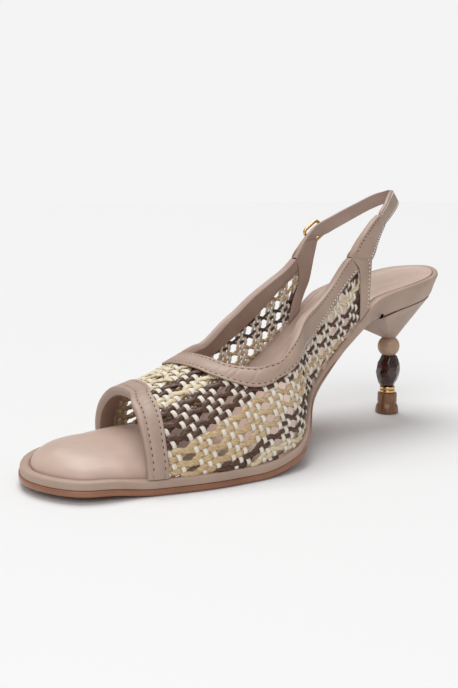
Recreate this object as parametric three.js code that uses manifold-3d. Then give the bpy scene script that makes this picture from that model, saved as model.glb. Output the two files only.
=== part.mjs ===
import * as THREE from 'three';
import { mergeVertices } from 'three/addons/utils/BufferGeometryUtils.js';
import Module from 'manifold-3d';

// Stiletto slingback sandal with an open toe, a woven upper and a beaded heel. Right shoe.
// Millimetres. +X points to the toe, +Y to the inner side of the foot, +Z up.
// The origin is on the floor under the middle of the heel tip.

const wasm = await Module();
wasm.setup();

// Sole
const soleLength = 224;
const ballWidth = 80;
const heelOverhang = 29; // heel axis to the back of the seat
const heelHeight = 55; // floor to the underside of the seat above the heel axis
const toeSpring = 2.3;
const outsoleThickness = 2.3;
const randTopFront = 5.4; // underside of the sole to the top of the rand, at the front
const randTopWaist = 3.8;
const randTopSeat = 10.8;
const randStep = 0.6; // how far the rand stands inside the outsole
const randGroove = 0.9; // depth of the groove between rand and insole
const breastAt = 22; // heel axis to the breast line, where the outsole ends
const insoleCrownToe = 7.2; // how high the padding stands over the rand
const insoleCrownBall = 3.6;
const insoleCrownSeat = 0.6;
const insoleEdgeToe = 4.5; // outsole edge to insole edge, in front of the upper
const insoleEdgeUpper = 5.3; // the same between the walls of the upper
const insoleEdgeSeat = 3.4;
const seatUndercut = 3.2; // how much further in the underside of the seat ends
const insoleRound = 4; // width over which the padding's edge rounds
const fit = 0.3; // clearance between neighbouring pieces

// Upper
const instepHeight = 62; // insole to the top of the last, at the instep section
const featherInset = 2; // outsole edge to the outer skin of the upper at its foot
const wallThickness = 1.1;
const cordRelief = 0.4; // how far the crossing cords stand proud of the wall
const leafThickness = 0.6; // leather of the bindings and the band
const leafGap = 0.54; // air between the wall and the leather folded over it
const skinDepth = 0.7; // skin of the last to the face of the wall
const bindingTurn = 1.2; // folded edge of a binding, in front of the wall it holds

// Weave
const firstColumn = 0.8103; // foot of the column nearest the toe, as a share of the sole length
const columnPitch = 12.2;
const columnClosing = 0.2; // how much closer each next column stands
const columnLean = 1; // backward step of a column with each row down
const outerSideShift = 4.6; // the outer side's columns stand further back
const holeLength = 0.27; // half length of a hole, as a share of the column pitch
const holeFlat = 0.13;
const holeHeight = 0.33; // half height of a hole, as a share of the row spacing

// Slingback strap
const tabThickness = 2.2; // end of the quarter, which holds the strap
const strapThickness = 1.6;
const quarterThickness = cordRelief + wallThickness + 2 * (leafGap + leafThickness);
const strapRise = 28.93; // end of the inner quarter to the top of the strap behind the ankle
const strapLean = 3.4; // how far the strap's upper edge leans in behind the ankle

// Buckle
const buckleLength = 10.5;
const buckleWidth = 9;
const buckleWire = 1.3;
const buckleAt = 0.8617; // place of the buckle on the strap's middle line, as a share of the line
const buckleRise = 0.3087; // height of the buckle above the inner quarter's end, as a share of strapRise
const buckleSlope = 0.8; // rise of the buckle for each millimetre along the strap
const buckleStand = 1.6; // the buckle lies over the outer tab

// Heel
const tipRadius = 5.66;
const tipWaist = 4.7;
const tipHeight = 10;
const ringRadius = 3.7;
const ringHeight = 1.6;
const beadRadius = 5.95;
const beadNeck = 3.2;
const beadHeight = 15.5;
const ballRadius = 5.3;
const jointRadius = 3.3;
const breastHollow = 5; // how far the middle of the breast curves back
const seatGap = 0.6; // shadow line between the heel block and the seat
const stackGap = 0.04;

// Outline of the sole, from the toe tip over the inner side to the heel and back on the outer side
const outlineRows = [
  { along: 1.0, across: 0.061 },
  { along: 0.96, across: 0.336 },
  { along: 0.858, across: 0.444 },
  { along: 0.715, across: 0.558 },
  { along: 0.555, across: 0.549 },
  { along: 0.434, across: 0.283 },
  { along: 0.275, across: 0.226 },
  { along: 0.138, across: 0.25 },
  { along: 0.048, across: 0.18 },
  { along: 0.0, across: -0.015 },
  { along: 0.031, across: -0.25 },
  { along: 0.123, across: -0.328 },
  { along: 0.283, across: -0.359 },
  { along: 0.464, across: -0.385 },
  { along: 0.621, across: -0.435 },
  { along: 0.751, across: -0.438 },
  { along: 0.89, across: -0.349 },
  { along: 0.968, across: -0.18 },
];

// Underside of the sole, as a share of the heel height
const archRows = [
  { along: -0.02, rise: 1.118 },
  { along: 0.085, rise: 1.029 },
  { along: 0.196, rise: 0.945 },
  { along: 0.308, rise: 0.775 },
  { along: 0.397, rise: 0.52 },
  { along: 0.487, rise: 0.273 },
  { along: 0.576, rise: 0.055 },
  { along: 0.66, rise: 0 },
  { along: 0.85, rise: 0 },
  { along: 1.02, rise: 0 },
];
const springRows = [
  { along: 0.5, rise: 0 },
  { along: 0.84, rise: 0 },
  { along: 0.92, rise: 0.85 },
  { along: 1.02, rise: 1 },
];

// Top of the last above the insole, as a share of the instep height
const crownRows = [
  { along: 0.085, height: 1.697 },
  { along: 0.219, height: 1.51 },
  { along: 0.353, height: 1.295 },
  { along: 0.487, height: 1.02 },
  { along: 0.576, height: 0.769 },
  { along: 0.665, height: 0.594 },
  { along: 0.754, height: 0.468 },
  { along: 0.821, height: 0.408 },
  { along: 0.888, height: 0.344 },
];
const bandFront = 0.862; // front of the toe band, as a share of the sole length
const crownOffset = 0.055; // shift of the crown to the inner side, as a share of the width
const innerFullness = 2.4;
const outerFullness = 2.33;
const heightFullness = 1.73;

// Smooth monotone curve through one column of a table
function column(rows, key, value) {
  const secant = (i) => (rows[i + 1][key] - rows[i][key]) / (rows[i + 1].along - rows[i].along);
  const tangent = (i) => {
    if (i === 0) return secant(0);
    if (i === rows.length - 1) return secant(i - 1);
    const before = secant(i - 1);
    const after = secant(i);
    return before * after <= 0 ? 0 : (2 * before * after) / (before + after);
  };
  let i = 0;
  while (i < rows.length - 2 && value > rows[i + 1].along) i += 1;
  const span = rows[i + 1].along - rows[i].along;
  const t = THREE.MathUtils.clamp((value - rows[i].along) / span, 0, 1);
  const h = t * t * (3 - 2 * t);
  const rise = (1 - t) * (1 - t) * t * tangent(i) - t * t * (1 - t) * tangent(i + 1);
  return rows[i][key] * (1 - h) + rows[i + 1][key] * h + rise * span;
}

const atLength = (along) => along * soleLength - heelOverhang;
const shareAt = (x) => (x + heelOverhang) / soleLength;

// Height of the sole's underside and of the layers on it
function soleUnder(x) {
  const share = shareAt(x);
  return column(archRows, 'rise', share) * heelHeight + column(springRows, 'rise', share) * toeSpring;
}
const towardSeat = (x) => 1 - THREE.MathUtils.smoothstep(x, breastAt + 2, 2 * breastAt + 2);
const towardWaist = (x) => 1 - THREE.MathUtils.smoothstep(x, 3.4 * breastAt, 5 * breastAt);
const frontTop = (x) => THREE.MathUtils.lerp(randTopFront, randTopWaist, towardWaist(x));
const randTop = (x) => THREE.MathUtils.lerp(frontTop(x), randTopSeat, towardSeat(x));
const insoleHeight = (x) => soleUnder(x) + randTop(x);

const outlineCurve = new THREE.CatmullRomCurve3(
  outlineRows.map((row) => new THREE.Vector3(atLength(row.along), row.across * ballWidth, 0)),
  true,
  'centripetal',
);

// Points of the outline moved inwards, as many on the inner side as on the outer side
function outlineRing(inset, count) {
  const ring = [];
  for (let i = 0; i < count; i += 1) {
    const t = i / count;
    const point = outlineCurve.getPointAt(t);
    const direction = outlineCurve.getTangentAt(t);
    const depth = typeof inset === 'function' ? inset(point.x) : inset;
    ring.push(new THREE.Vector3(point.x - direction.y * depth, point.y + direction.x * depth, 0));
  }
  return ring;
}

function sideCurve(inset) {
  const ring = outlineRing(inset, 480);
  const toe = ring.reduce((best, p, i) => (p.x > ring[best].x ? i : best), 0);
  const heel = ring.reduce((best, p, i) => (p.x < ring[best].x ? i : best), 0);
  const walk = (from, to) => {
    const points = [];
    for (let i = from; i !== to; i = (i + 1) % ring.length) points.push(ring[i]);
    points.push(ring[to]);
    return points;
  };
  const inner = walk(toe, heel).reverse();
  const outer = walk(heel, toe);
  const lookup = (points) => (x) => {
    let i = 0;
    while (i < points.length - 2 && points[i + 1].x < x) i += 1;
    const t = (x - points[i].x) / (points[i + 1].x - points[i].x || 1);
    return THREE.MathUtils.lerp(points[i].y, points[i + 1].y, THREE.MathUtils.clamp(t, 0, 1));
  };
  return { inner: lookup(inner), outer: lookup(outer) };
}
const feather = sideCurve(featherInset);

// Point on the last. round is 1 at the insole on the inner side, 0 on the crown, -1 on the outer side
function lastPoint(x, round) {
  const inner = feather.inner(x);
  const outer = feather.outer(x);
  const middle = (inner + outer) / 2 + crownOffset * (inner - outer);
  const half = round > 0 ? inner - middle : outer - middle;
  const fullness = round > 0 ? innerFullness : outerFullness;
  const angle = ((1 - Math.min(Math.abs(round), 1)) * Math.PI) / 2;
  const height = column(crownRows, 'height', shareAt(x)) * instepHeight;
  return new THREE.Vector3(
    x,
    middle + half * Math.cos(angle) ** (2 / fullness),
    insoleHeight(x) + height * Math.sin(angle) ** (2 / heightFullness),
  );
}

// Point at a distance outside the last, or inside it when the distance is negative
function skin(x, round, distance) {
  const stepX = 1;
  const stepRound = 0.02;
  const limit = 1 - stepRound;
  const middle = THREE.MathUtils.clamp(round, -limit, limit);
  const alongX = lastPoint(x + stepX, middle).sub(lastPoint(x - stepX, middle));
  const across = lastPoint(x, middle + stepRound).sub(lastPoint(x, middle - stepRound));
  const normal = alongX.cross(across).normalize();
  return lastPoint(x, round).addScaledVector(normal, distance - skinDepth);
}

// Mesh helpers
function geometryOf(points, triangles) {
  const geometry = new THREE.BufferGeometry();
  const flat = points.flatMap((p) => [p.x, p.y, p.z]);
  geometry.setAttribute('position', new THREE.Float32BufferAttribute(flat, 3));
  geometry.setIndex(triangles);
  return facingOut(geometry);
}

// Turns every triangle over when the solid is inside out
function facingOut(geometry) {
  const position = geometry.attributes.position;
  const index = geometry.index.array;
  const corner = (i) => new THREE.Vector3().fromBufferAttribute(position, index[i]);
  let volume = 0;
  for (let i = 0; i < index.length; i += 3) volume += corner(i).dot(corner(i + 1).cross(corner(i + 2)));
  if (volume < 0) geometry.setIndex(Array.from(index).reverse());
  return geometry;
}

// Solid through rings of equally many points, closed at both ends by the triangles given for one ring
function loft(rings, startCap, endCap) {
  const count = rings[0].length;
  const triangles = [];
  for (let i = 0; i < rings.length - 1; i += 1) {
    for (let j = 0; j < count; j += 1) {
      const a = i * count + j;
      const b = i * count + ((j + 1) % count);
      triangles.push(a, b, a + count, b, b + count, a + count);
    }
  }
  const last = (rings.length - 1) * count;
  startCap.forEach(([a, b, c]) => triangles.push(a, c, b));
  endCap.forEach(([a, b, c]) => triangles.push(last + a, last + b, last + c));
  return geometryOf(rings.flat(), triangles);
}

function sectionCap(section) {
  return THREE.ShapeUtils.triangulateShape(section, []);
}

// Ladder of triangles between the inner and the outer side of an outline ring
function rungCap(count) {
  const triangles = [];
  const half = count / 2;
  for (let i = 0; i < half; i += 1) {
    const a = i;
    const b = i + 1;
    const c = (count - i) % count;
    const d = (count - i - 1) % count;
    if (i > 0) triangles.push([a, b, c]);
    if (i < half - 1) triangles.push([b, d, c]);
  }
  return triangles;
}

// Layer of the sole: each ring has an inset, a height above the underside and a pull to the middle
function soleLayer(levels, count) {
  const rings = levels.map((level) => {
    const ring = outlineRing(level.inset, count);
    const pulled = ring.map((point, i) => {
      const middle = point.clone().lerp(ring[(count - i) % count], 0.5);
      return point.clone().lerp(middle, level.pull || 0);
    });
    pulled.forEach((point) => {
      point.z = soleUnder(point.x) + level.height(point.x);
    });
    return pulled;
  });
  return loft(rings, rungCap(count), rungCap(count));
}

function toManifold(geometry) {
  const bare = geometry.clone();
  bare.deleteAttribute('normal');
  bare.deleteAttribute('uv');
  const merged = mergeVertices(bare, 1e-5);
  return new wasm.Manifold(new wasm.Mesh({
    numProp: 3,
    vertProperties: new Float32Array(merged.attributes.position.array),
    triVerts: new Uint32Array(merged.index.array),
  }));
}

function fromManifold(solid) {
  const mesh = solid.getMesh();
  const geometry = new THREE.BufferGeometry();
  geometry.setAttribute('position', new THREE.Float32BufferAttribute(mesh.vertProperties, 3));
  geometry.setIndex(Array.from(mesh.triVerts));
  return geometry;
}

// Sole pieces
const soleSteps = 72; // an even number, so that both sides have as many points

function behindBreast(x) {
  const box = new THREE.BoxGeometry(soleLength, 2 * ballWidth, 4 * heelHeight);
  box.translate(x - soleLength / 2, 0, 0);
  return toManifold(box);
}

function outsole() {
  const layer = soleLayer([
    { inset: (x) => 0.5 + seatUndercut * towardSeat(x), height: () => 0 },
    { inset: (x) => 0.93 * seatUndercut * towardSeat(x), height: () => 0.5 },
    { inset: (x) => 0.67 * seatUndercut * towardSeat(x), height: () => outsoleThickness },
  ], soleSteps);
  return fromManifold(toManifold(layer).subtract(behindBreast(breastAt + fit)));
}

// Thick edge of the sole: it stands on the outsole and is the whole seat behind the breast
function rand() {
  const layer = soleLayer([
    { inset: (x) => randStep + seatUndercut * towardSeat(x), height: () => 0 },
    { inset: (x) => randStep + 0.3 * seatUndercut * towardSeat(x), height: (x) => 0.45 * randTop(x) },
    { inset: randStep + 0.1, height: (x) => randTop(x) - 0.6 },
    { inset: randStep + 0.8, height: randTop },
    { inset: (x) => insoleEdgeAt(x) - 0.9, height: randTop },
    { inset: (x) => insoleEdgeAt(x) - 0.2, height: (x) => randTop(x) - randGroove },
  ], soleSteps);
  const room = soleLayer([
    { inset: -1, height: () => -1 },
    { inset: -1, height: () => outsoleThickness + fit / 2 },
  ], soleSteps);
  return fromManifold(toManifold(layer).subtract(toManifold(room).subtract(behindBreast(breastAt))));
}

function insoleEdgeAt(x) {
  const front = THREE.MathUtils.smoothstep(x, atLength(bandFront), atLength(bandFront) + 6);
  const body = THREE.MathUtils.lerp(insoleEdgeUpper, insoleEdgeToe, front);
  return THREE.MathUtils.lerp(body, insoleEdgeSeat, towardSeat(x + 0.9 * breastAt));
}

function insole() {
  const bottom = (x) => randTop(x) - randGroove + fit / 2;
  const crown = (x) => {
    const ball = THREE.MathUtils.smoothstep(x, breastAt, soleLength / 2);
    const toe = THREE.MathUtils.smoothstep(x, atLength(0.68), atLength(0.8));
    const body = THREE.MathUtils.lerp(insoleCrownSeat, insoleCrownBall, ball);
    return THREE.MathUtils.lerp(body, insoleCrownToe, toe);
  };
  return soleLayer([
    { inset: insoleEdgeAt, height: bottom },
    { inset: insoleEdgeAt, height: (x) => randTop(x) - 0.1 },
    { inset: (x) => insoleEdgeAt(x) + 0.3 * insoleRound, height: (x) => randTop(x) + 0.34 * crown(x) },
    { inset: (x) => insoleEdgeAt(x) + insoleRound, height: (x) => randTop(x) + 0.66 * crown(x) },
    { inset: (x) => insoleEdgeAt(x) + insoleRound, pull: 0.3, height: (x) => randTop(x) + 0.9 * crown(x) },
    { inset: (x) => insoleEdgeAt(x) + insoleRound, pull: 0.6, height: (x) => randTop(x) + crown(x) },
  ], soleSteps);
}

const toplineSteps = 47;
const bandSteps = 26;
const backSteps = 12;

// Bindings. Each row joins a point of the free edge to a point of the edge that lies on the weave.
// closed is the share of the width that is folded shut, 0 for the normal turn of the leather.
const toplineRows = [
  { edge: 0.3205, edgeRound: 0.703, weave: 0.3005, weaveRound: 0.788 },
  { edge: 0.33, edgeRound: 0.7, weave: 0.3326, weaveRound: 0.777 },
  { edge: 0.373, edgeRound: 0.706, weave: 0.391, weaveRound: 0.783 },
  { edge: 0.422, edgeRound: 0.681, weave: 0.4527, weaveRound: 0.763 },
  { edge: 0.468, edgeRound: 0.624, weave: 0.5027, weaveRound: 0.674 },
  { edge: 0.5, edgeRound: 0.574, weave: 0.5366, weaveRound: 0.615 },
  { edge: 0.545, edgeRound: 0.494, weave: 0.583, weaveRound: 0.555 },
  { edge: 0.5755, edgeRound: 0.468, weave: 0.6147, weaveRound: 0.528 },
  { edge: 0.5964, edgeRound: 0.429, weave: 0.6295, weaveRound: 0.501 },
  { edge: 0.6116, edgeRound: 0.402, weave: 0.6455, weaveRound: 0.458 },
  { edge: 0.636, edgeRound: 0.318, weave: 0.6714, weaveRound: 0.349 },
  { edge: 0.648, edgeRound: 0.261, weave: 0.6817, weaveRound: 0.283 },
  { edge: 0.6576, edgeRound: 0.192, weave: 0.69, weaveRound: 0.21 },
  { edge: 0.6625, edgeRound: 0.054, weave: 0.696, weaveRound: 0.06 },
  { edge: 0.662, edgeRound: -0.07, weave: 0.6955, weaveRound: -0.08 },
  { edge: 0.657, edgeRound: -0.2, weave: 0.691, weaveRound: -0.22 },
  { edge: 0.6406, edgeRound: -0.32, weave: 0.675, weaveRound: -0.35 },
  { edge: 0.612, edgeRound: -0.39, weave: 0.646, weaveRound: -0.455 },
  { edge: 0.589, edgeRound: -0.445, weave: 0.617, weaveRound: -0.53 },
  { edge: 0.5705, edgeRound: -0.492, weave: 0.5893, weaveRound: -0.595 },
  { edge: 0.5353, edgeRound: -0.55, weave: 0.5536, weaveRound: -0.66 },
  { edge: 0.483, edgeRound: -0.618, weave: 0.5, weaveRound: -0.73 },
  { edge: 0.4246, edgeRound: -0.661, weave: 0.435, weaveRound: -0.768 },
  { edge: 0.377, edgeRound: -0.7, weave: 0.385, weaveRound: -0.78 },
  { edge: 0.345, edgeRound: -0.727, weave: 0.35, weaveRound: -0.786 },
  { edge: 0.3138, edgeRound: -0.736, weave: 0.305, weaveRound: -0.795 },
];
const innerBackRows = [
  { edge: 0.2715, edgeRound: 0.991, weave: 0.298, weaveRound: 0.991 },
  { edge: 0.2715, edgeRound: 0.969, weave: 0.298, weaveRound: 0.969 },
  { edge: 0.2695, edgeRound: 0.919, weave: 0.297, weaveRound: 0.908 },
  { edge: 0.266, edgeRound: 0.851, weave: 0.297, weaveRound: 0.851 },
  { edge: 0.2645, edgeRound: 0.83, weave: 0.2985, weaveRound: 0.79 },
  { edge: 0.2625, edgeRound: 0.817, weave: 0.3185, weaveRound: 0.703, closed: 0.85 },
  { edge: 0.2565, edgeRound: 0.813, weave: 0.3013, weaveRound: 0.701, closed: 0.85 },
];
const outerBackRows = [
  { edge: 0.295, edgeRound: -0.991, weave: 0.324, weaveRound: -0.991 },
  { edge: 0.2924, edgeRound: -0.975, weave: 0.321, weaveRound: -0.96 },
  { edge: 0.281, edgeRound: -0.935, weave: 0.314, weaveRound: -0.909 },
  { edge: 0.269, edgeRound: -0.905, weave: 0.2987, weaveRound: -0.851 },
  { edge: 0.259, edgeRound: -0.832, weave: 0.3025, weaveRound: -0.797 },
  { edge: 0.2527, edgeRound: -0.79, weave: 0.3118, weaveRound: -0.736, closed: 0.85 },
  { edge: 0.2505, edgeRound: -0.772, weave: 0.288, weaveRound: -0.725, closed: 0.85 },
];
const toeBandRows = [
  { edge: 0.8509, edgeRound: 0.991, weave: 0.8187, weaveRound: 0.991 },
  { edge: 0.8487, edgeRound: 0.787, weave: 0.816, weaveRound: 0.8 },
  { edge: 0.8465, edgeRound: 0.652, weave: 0.8138, weaveRound: 0.674 },
  { edge: 0.8438, edgeRound: 0.545, weave: 0.8089, weaveRound: 0.54 },
  { edge: 0.8398, edgeRound: 0.421, weave: 0.802, weaveRound: 0.395 },
  { edge: 0.8338, edgeRound: 0.292, weave: 0.795, weaveRound: 0.245 },
  { edge: 0.8267, edgeRound: 0.146, weave: 0.7875, weaveRound: 0.114 },
  { edge: 0.8095, edgeRound: 0, weave: 0.772, weaveRound: -0.014 },
  { edge: 0.799, edgeRound: -0.2, weave: 0.7605, weaveRound: -0.2 },
  { edge: 0.791, edgeRound: -0.4, weave: 0.7535, weaveRound: -0.4 },
  { edge: 0.7866, edgeRound: -0.6, weave: 0.75, weaveRound: -0.6 },
  { edge: 0.781, edgeRound: -0.8, weave: 0.747, weaveRound: -0.8 },
  { edge: 0.775, edgeRound: -0.991, weave: 0.744, weaveRound: -0.991 },
];

// Stations along a binding, closer together than its table
function bindingStations(rows, count) {
  const through = (points) => new THREE.CatmullRomCurve3(points, false, 'centripetal');
  const edge = through(rows.map((row) => flatPoint(row.edge, row.edgeRound)));
  const weave = through(rows.map((row) => flatPoint(row.weave, row.weaveRound)));
  const stations = [];
  for (let i = 0; i <= count; i += 1) {
    const t = i / count;
    const place = t * (rows.length - 1);
    const row = Math.min(Math.floor(place), rows.length - 2);
    const closed = THREE.MathUtils.lerp(rows[row].closed || 0, rows[row + 1].closed || 0, place - row);
    stations.push({ edge: edge.getPoint(t), weave: weave.getPoint(t), closed });
  }
  return stations;
}

// Flat chart of the skin: X is the place along the shoe, Y the way round the last in units near 1 mm
const chartHeight = 60;
function flatPoint(along, round) {
  return new THREE.Vector3(atLength(along), round * chartHeight, 0);
}
const onSkin = (point, distance) => skin(point.x, point.y / chartHeight, distance);

function foldShare(station) {
  const width = onSkin(station.edge, 0).distanceTo(onSkin(station.weave, 0));
  return Math.max(bindingTurn / width, station.closed);
}

// Section of a folded binding: share of the width from the free edge, and distance from the last
function bindingSection(fold, low, high, inside, deep) {
  const middle = (1 + fold) / 2;
  const round = 0.4;
  return [
    [0, round - deep], [0.06, -deep], [0.5, -deep], [0.97, -deep], [1, -inside], [middle, -inside],
    [fold, -inside], [fold, low], [middle, low], [1, low], [0.95, high], [0.5, high], [0.06, high],
    [0, high - round],
  ];
}

// Leather folded round the edge of the wall: one leaf outside, one inside, joined along the free edge
function binding(rows, count) {
  const low = cordRelief + leafGap;
  const high = low + leafThickness;
  const inside = wallThickness + leafGap;
  const deep = inside + leafThickness;
  const rings = bindingStations(rows, count).map((station) => {
    const fold = foldShare(station);
    return bindingSection(fold, low, high, inside, deep).map(([share, distance]) => {
      const place = station.edge.clone().lerp(station.weave, share);
      return onSkin(place, distance);
    });
  });
  const plain = bindingSection(0.2, low, high, inside, deep);
  const cap = sectionCap(plain.map(([share, distance]) => new THREE.Vector2(share, distance)));
  return loft(rings, cap, cap);
}

// Woven wall: a lattice of cells, each with a six-sided hole and raised edges where the cords cross
const wallFoot = 0.99 * chartHeight;

// Way round the last from the crown to the first row of holes, and from row to row
const rowRows = [
  { along: 0.33, start: 0.6533, step: 0.05 },
  { along: 0.38, start: 0.5683, step: 0.0567 },
  { along: 0.42, start: 0.5217, step: 0.0567 },
  { along: 0.46, start: 0.4467, step: 0.06 },
  { along: 0.55, start: 0.2567, step: 0.0717 },
  { along: 0.634, start: 0.075, step: 0.085 },
  { along: 0.68, start: 0.0083, step: 0.1017 },
  { along: 0.732, start: 0, step: 0.1117 },
  { along: 0.786, start: 0, step: 0.125 },
  { along: 0.87, start: 0, step: 0.1433 },
];
const lastHoleRound = 0.955; // no hole stands lower than this

function latticePoint(columnIndex, rowIndex) {
  const near = Math.sqrt(rowIndex * rowIndex + 1);
  const outward = THREE.MathUtils.clamp((2 - rowIndex) / 4, 0, 1);
  const x = atLength(firstColumn) - columnPitch * columnIndex + columnClosing * columnIndex ** 2
    - columnLean * near - outerSideShift * outward;
  const share = THREE.MathUtils.clamp(shareAt(x), rowRows[0].along, 1);
  const start = column(rowRows, 'start', share) * THREE.MathUtils.clamp(rowIndex, -1, 1);
  return new THREE.Vector3(x, (start + column(rowRows, 'step', share) * rowIndex) * chartHeight, 0);
}

function insidePolygon(point, polygon) {
  let inside = false;
  polygon.forEach((a, i) => {
    const b = polygon[(i + 1) % polygon.length];
    const crosses = a.y > point.y !== b.y > point.y;
    if (crosses && point.x < ((b.x - a.x) * (point.y - a.y)) / (b.y - a.y) + a.x) inside = !inside;
  });
  return inside;
}

// Border of the wall at a depth from the free edges, in the flat chart
function wallBorder(depthOf) {
  const topline = bindingStations(toplineRows, toplineSteps);
  const innerBack = bindingStations(innerBackRows, backSteps);
  const outerBack = bindingStations(outerBackRows, backSteps);
  const band = bindingStations(toeBandRows, bandSteps);
  const open = (stations) => stations.filter((station) => station.closed < 0.01);
  const place = (station) => station.edge.clone().lerp(station.weave, depthOf(station));
  const foot = (point) => {
    point.y = THREE.MathUtils.clamp(point.y, -wallFoot, wallFoot);
    return point;
  };
  return [
    ...band.map(place),
    ...open(outerBack).map(place),
    ...open(topline).reverse().map(place),
    ...open(innerBack).reverse().map(place),
  ].map(foot);
}

// Closed lattice of cells in the flat chart, cut to the border and laid on the last
const weaveColumns = { first: -2, last: 12 };
const weaveRows = 11;

function weaveLattice(visible) {
  const points = [];
  const triangles = [];
  const add = (p, lift) => points.push(new THREE.Vector3(p.x, p.y, lift)) - 1;
  const quad = (a, b, c, d) => triangles.push(a, b, c, a, c, d);
  const rim = [
    [-0.5, 0.5, cordRelief], [-0.5, 0, 0.7 * cordRelief], [-0.5, -0.5, cordRelief],
    [0.5, -0.5, cordRelief], [0.5, 0, 0.7 * cordRelief], [0.5, 0.5, cordRelief],
  ];
  const hole = [
    [-holeFlat, holeHeight], [-holeLength, 0], [-holeFlat, -holeHeight],
    [holeFlat, -holeHeight], [holeLength, 0], [holeFlat, holeHeight],
  ];
  const deep = -wallThickness;
  const { first, last } = weaveColumns;
  for (let c = first; c <= last; c += 1) {
    for (let r = -weaveRows; r < weaveRows; r += 1) {
      const at = (u, v) => latticePoint(c + u, r + 0.5 + v);
      const middle = at(0, 0);
      const pierced = insidePolygon(middle, visible) && Math.abs(middle.y) < lastHoleRound * chartHeight;
      const outer = rim.map(([u, v, lift]) => add(at(u, v), lift));
      const inner = rim.map(([u, v]) => add(at(u, v), deep));
      const rimTop = hole.map(([u, v]) => add(pierced ? at(u, v) : middle, 0));
      const rimDeep = hole.map(([u, v]) => add(pierced ? at(u, v) : middle, deep));
      const ends = { front: c === first, back: c === last, low: r === -weaveRows, high: r === weaveRows - 1 };
      const border = [ends.front, ends.front, ends.low, ends.back, ends.back, ends.high];
      for (let k = 0; k < 6; k += 1) {
        const n = (k + 1) % 6;
        if (border[k]) quad(outer[n], outer[k], inner[k], inner[n]);
        if (pierced) {
          quad(outer[k], outer[n], rimTop[n], rimTop[k]);
          quad(inner[n], inner[k], rimDeep[k], rimDeep[n]);
          quad(rimTop[k], rimTop[n], rimDeep[n], rimDeep[k]);
        } else {
          triangles.push(outer[k], outer[n], rimTop[k]);
          triangles.push(inner[n], inner[k], rimDeep[k]);
        }
      }
    }
  }
  return geometryOf(points, triangles);
}

function upper() {
  const visible = wallBorder(() => 1);
  const border = wallBorder((station) => foldShare(station) + 0.09);
  const depth = 4 * (wallThickness + cordRelief);
  const prism = new THREE.ExtrudeGeometry(new THREE.Shape(border), { depth, bevelEnabled: false });
  prism.translate(0, 0, -depth / 2);
  const cut = fromManifold(toManifold(weaveLattice(visible)).intersect(toManifold(prism)));
  const position = cut.attributes.position;
  for (let i = 0; i < position.count; i += 1) {
    const place = new THREE.Vector3(position.getX(i), position.getY(i), 0);
    const laid = onSkin(place, position.getZ(i));
    position.setXYZ(i, laid.x, laid.y, laid.z);
  }
  return facingOut(cut);
}

// Slingback strap: its middle line seen from above, from the inner quarter round the ankle to the buckle
const strapPlan = [
  { along: 0.317, across: 0.1725 },
  { along: 0.2813, across: 0.175 },
  { along: 0.2455, across: 0.16 },
  { along: 0.2009, across: 0.1225 },
  { along: 0.1607, across: 0.0775 },
  { along: 0.1295, across: 0.0325 },
  { along: 0.108, across: -0.0212 },
  { along: 0.0982, across: -0.075 },
  { along: 0.104, across: -0.1288 },
  { along: 0.1259, across: -0.1725 },
  { along: 0.1741, across: -0.2275 },
  { along: 0.2277, across: -0.2725 },
  { along: 0.2723, across: -0.3025 },
  { along: 0.317, across: -0.315 },
];
// Edges of the strap: place along its middle line as a share of the line, height above the inner quarter's
// end as a share of strapRise, and how far in the edge stands as a share of strapLean
const tabRows = [
  { lowAt: 0.1228, low: 0.0235, highAt: 0.0334, high: 0.1652, lowIn: -0.318, highIn: 0.153 },
  { lowAt: 0.1572, low: 0.1704, highAt: 0.0732, high: 0.3467, lowIn: -0.08, highIn: 0.03 },
  { lowAt: 0.1969, low: 0.3294, highAt: 0.1283, high: 0.523, lowIn: 0, highIn: 0 },
  { lowAt: 0.2294, low: 0.44, highAt: 0.1716, high: 0.6128, lowIn: 0, highIn: 0 },
];
const strapRows = [
  { lowAt: 0.2317, low: 0.4509, highAt: 0.1874, high: 0.5833, lowIn: 0, highIn: 0 },
  { lowAt: 0.2454, low: 0.4741, highAt: 0.1969, high: 0.6611, lowIn: 0, highIn: 0 },
  { lowAt: 0.2845, low: 0.5437, highAt: 0.2457, high: 0.779, lowIn: 0, highIn: 0.09 },
  { lowAt: 0.3505, low: 0.6578, highAt: 0.3026, high: 0.9031, lowIn: 0, highIn: 0.37 },
  { lowAt: 0.4065, low: 0.758, highAt: 0.3703, high: 0.9794, lowIn: 0, highIn: 0.76 },
  { lowAt: 0.4787, low: 0.8134, highAt: 0.4607, high: 1.0, lowIn: 0, highIn: 1 },
  { lowAt: 0.5501, low: 0.7651, highAt: 0.5239, high: 0.9933, lowIn: 0, highIn: 0.93 },
  { lowAt: 0.6142, low: 0.6682, highAt: 0.5898, high: 0.9446, lowIn: 0, highIn: 0.7 },
  { lowAt: 0.691, low: 0.5231, highAt: 0.6811, high: 0.7823, lowIn: 0, highIn: 0.3 },
  { lowAt: 0.7732, low: 0.3675, highAt: 0.7858, high: 0.5852, lowIn: 0, highIn: 0 },
  { lowAt: 0.83, low: 0.2632, highAt: 0.8798, high: 0.4019, lowIn: -0.1, highIn: 0.08 },
  { lowAt: 0.8662, low: 0.2395, highAt: 0.9403, high: 0.1704, lowIn: -0.25, highIn: 0.235 },
];

const strapLine = new THREE.CatmullRomCurve3(
  strapPlan.map((row) => new THREE.Vector3(atLength(row.along), row.across * ballWidth, 0)),
);
const strapLineLength = strapLine.getLength();
const quarterLast = innerBackRows[innerBackRows.length - 1];
const quarterFace = cordRelief + leafGap + leafThickness;
const quarterEnd = onSkin(flatPoint(quarterLast.edge, quarterLast.edgeRound), quarterFace).z;

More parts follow.
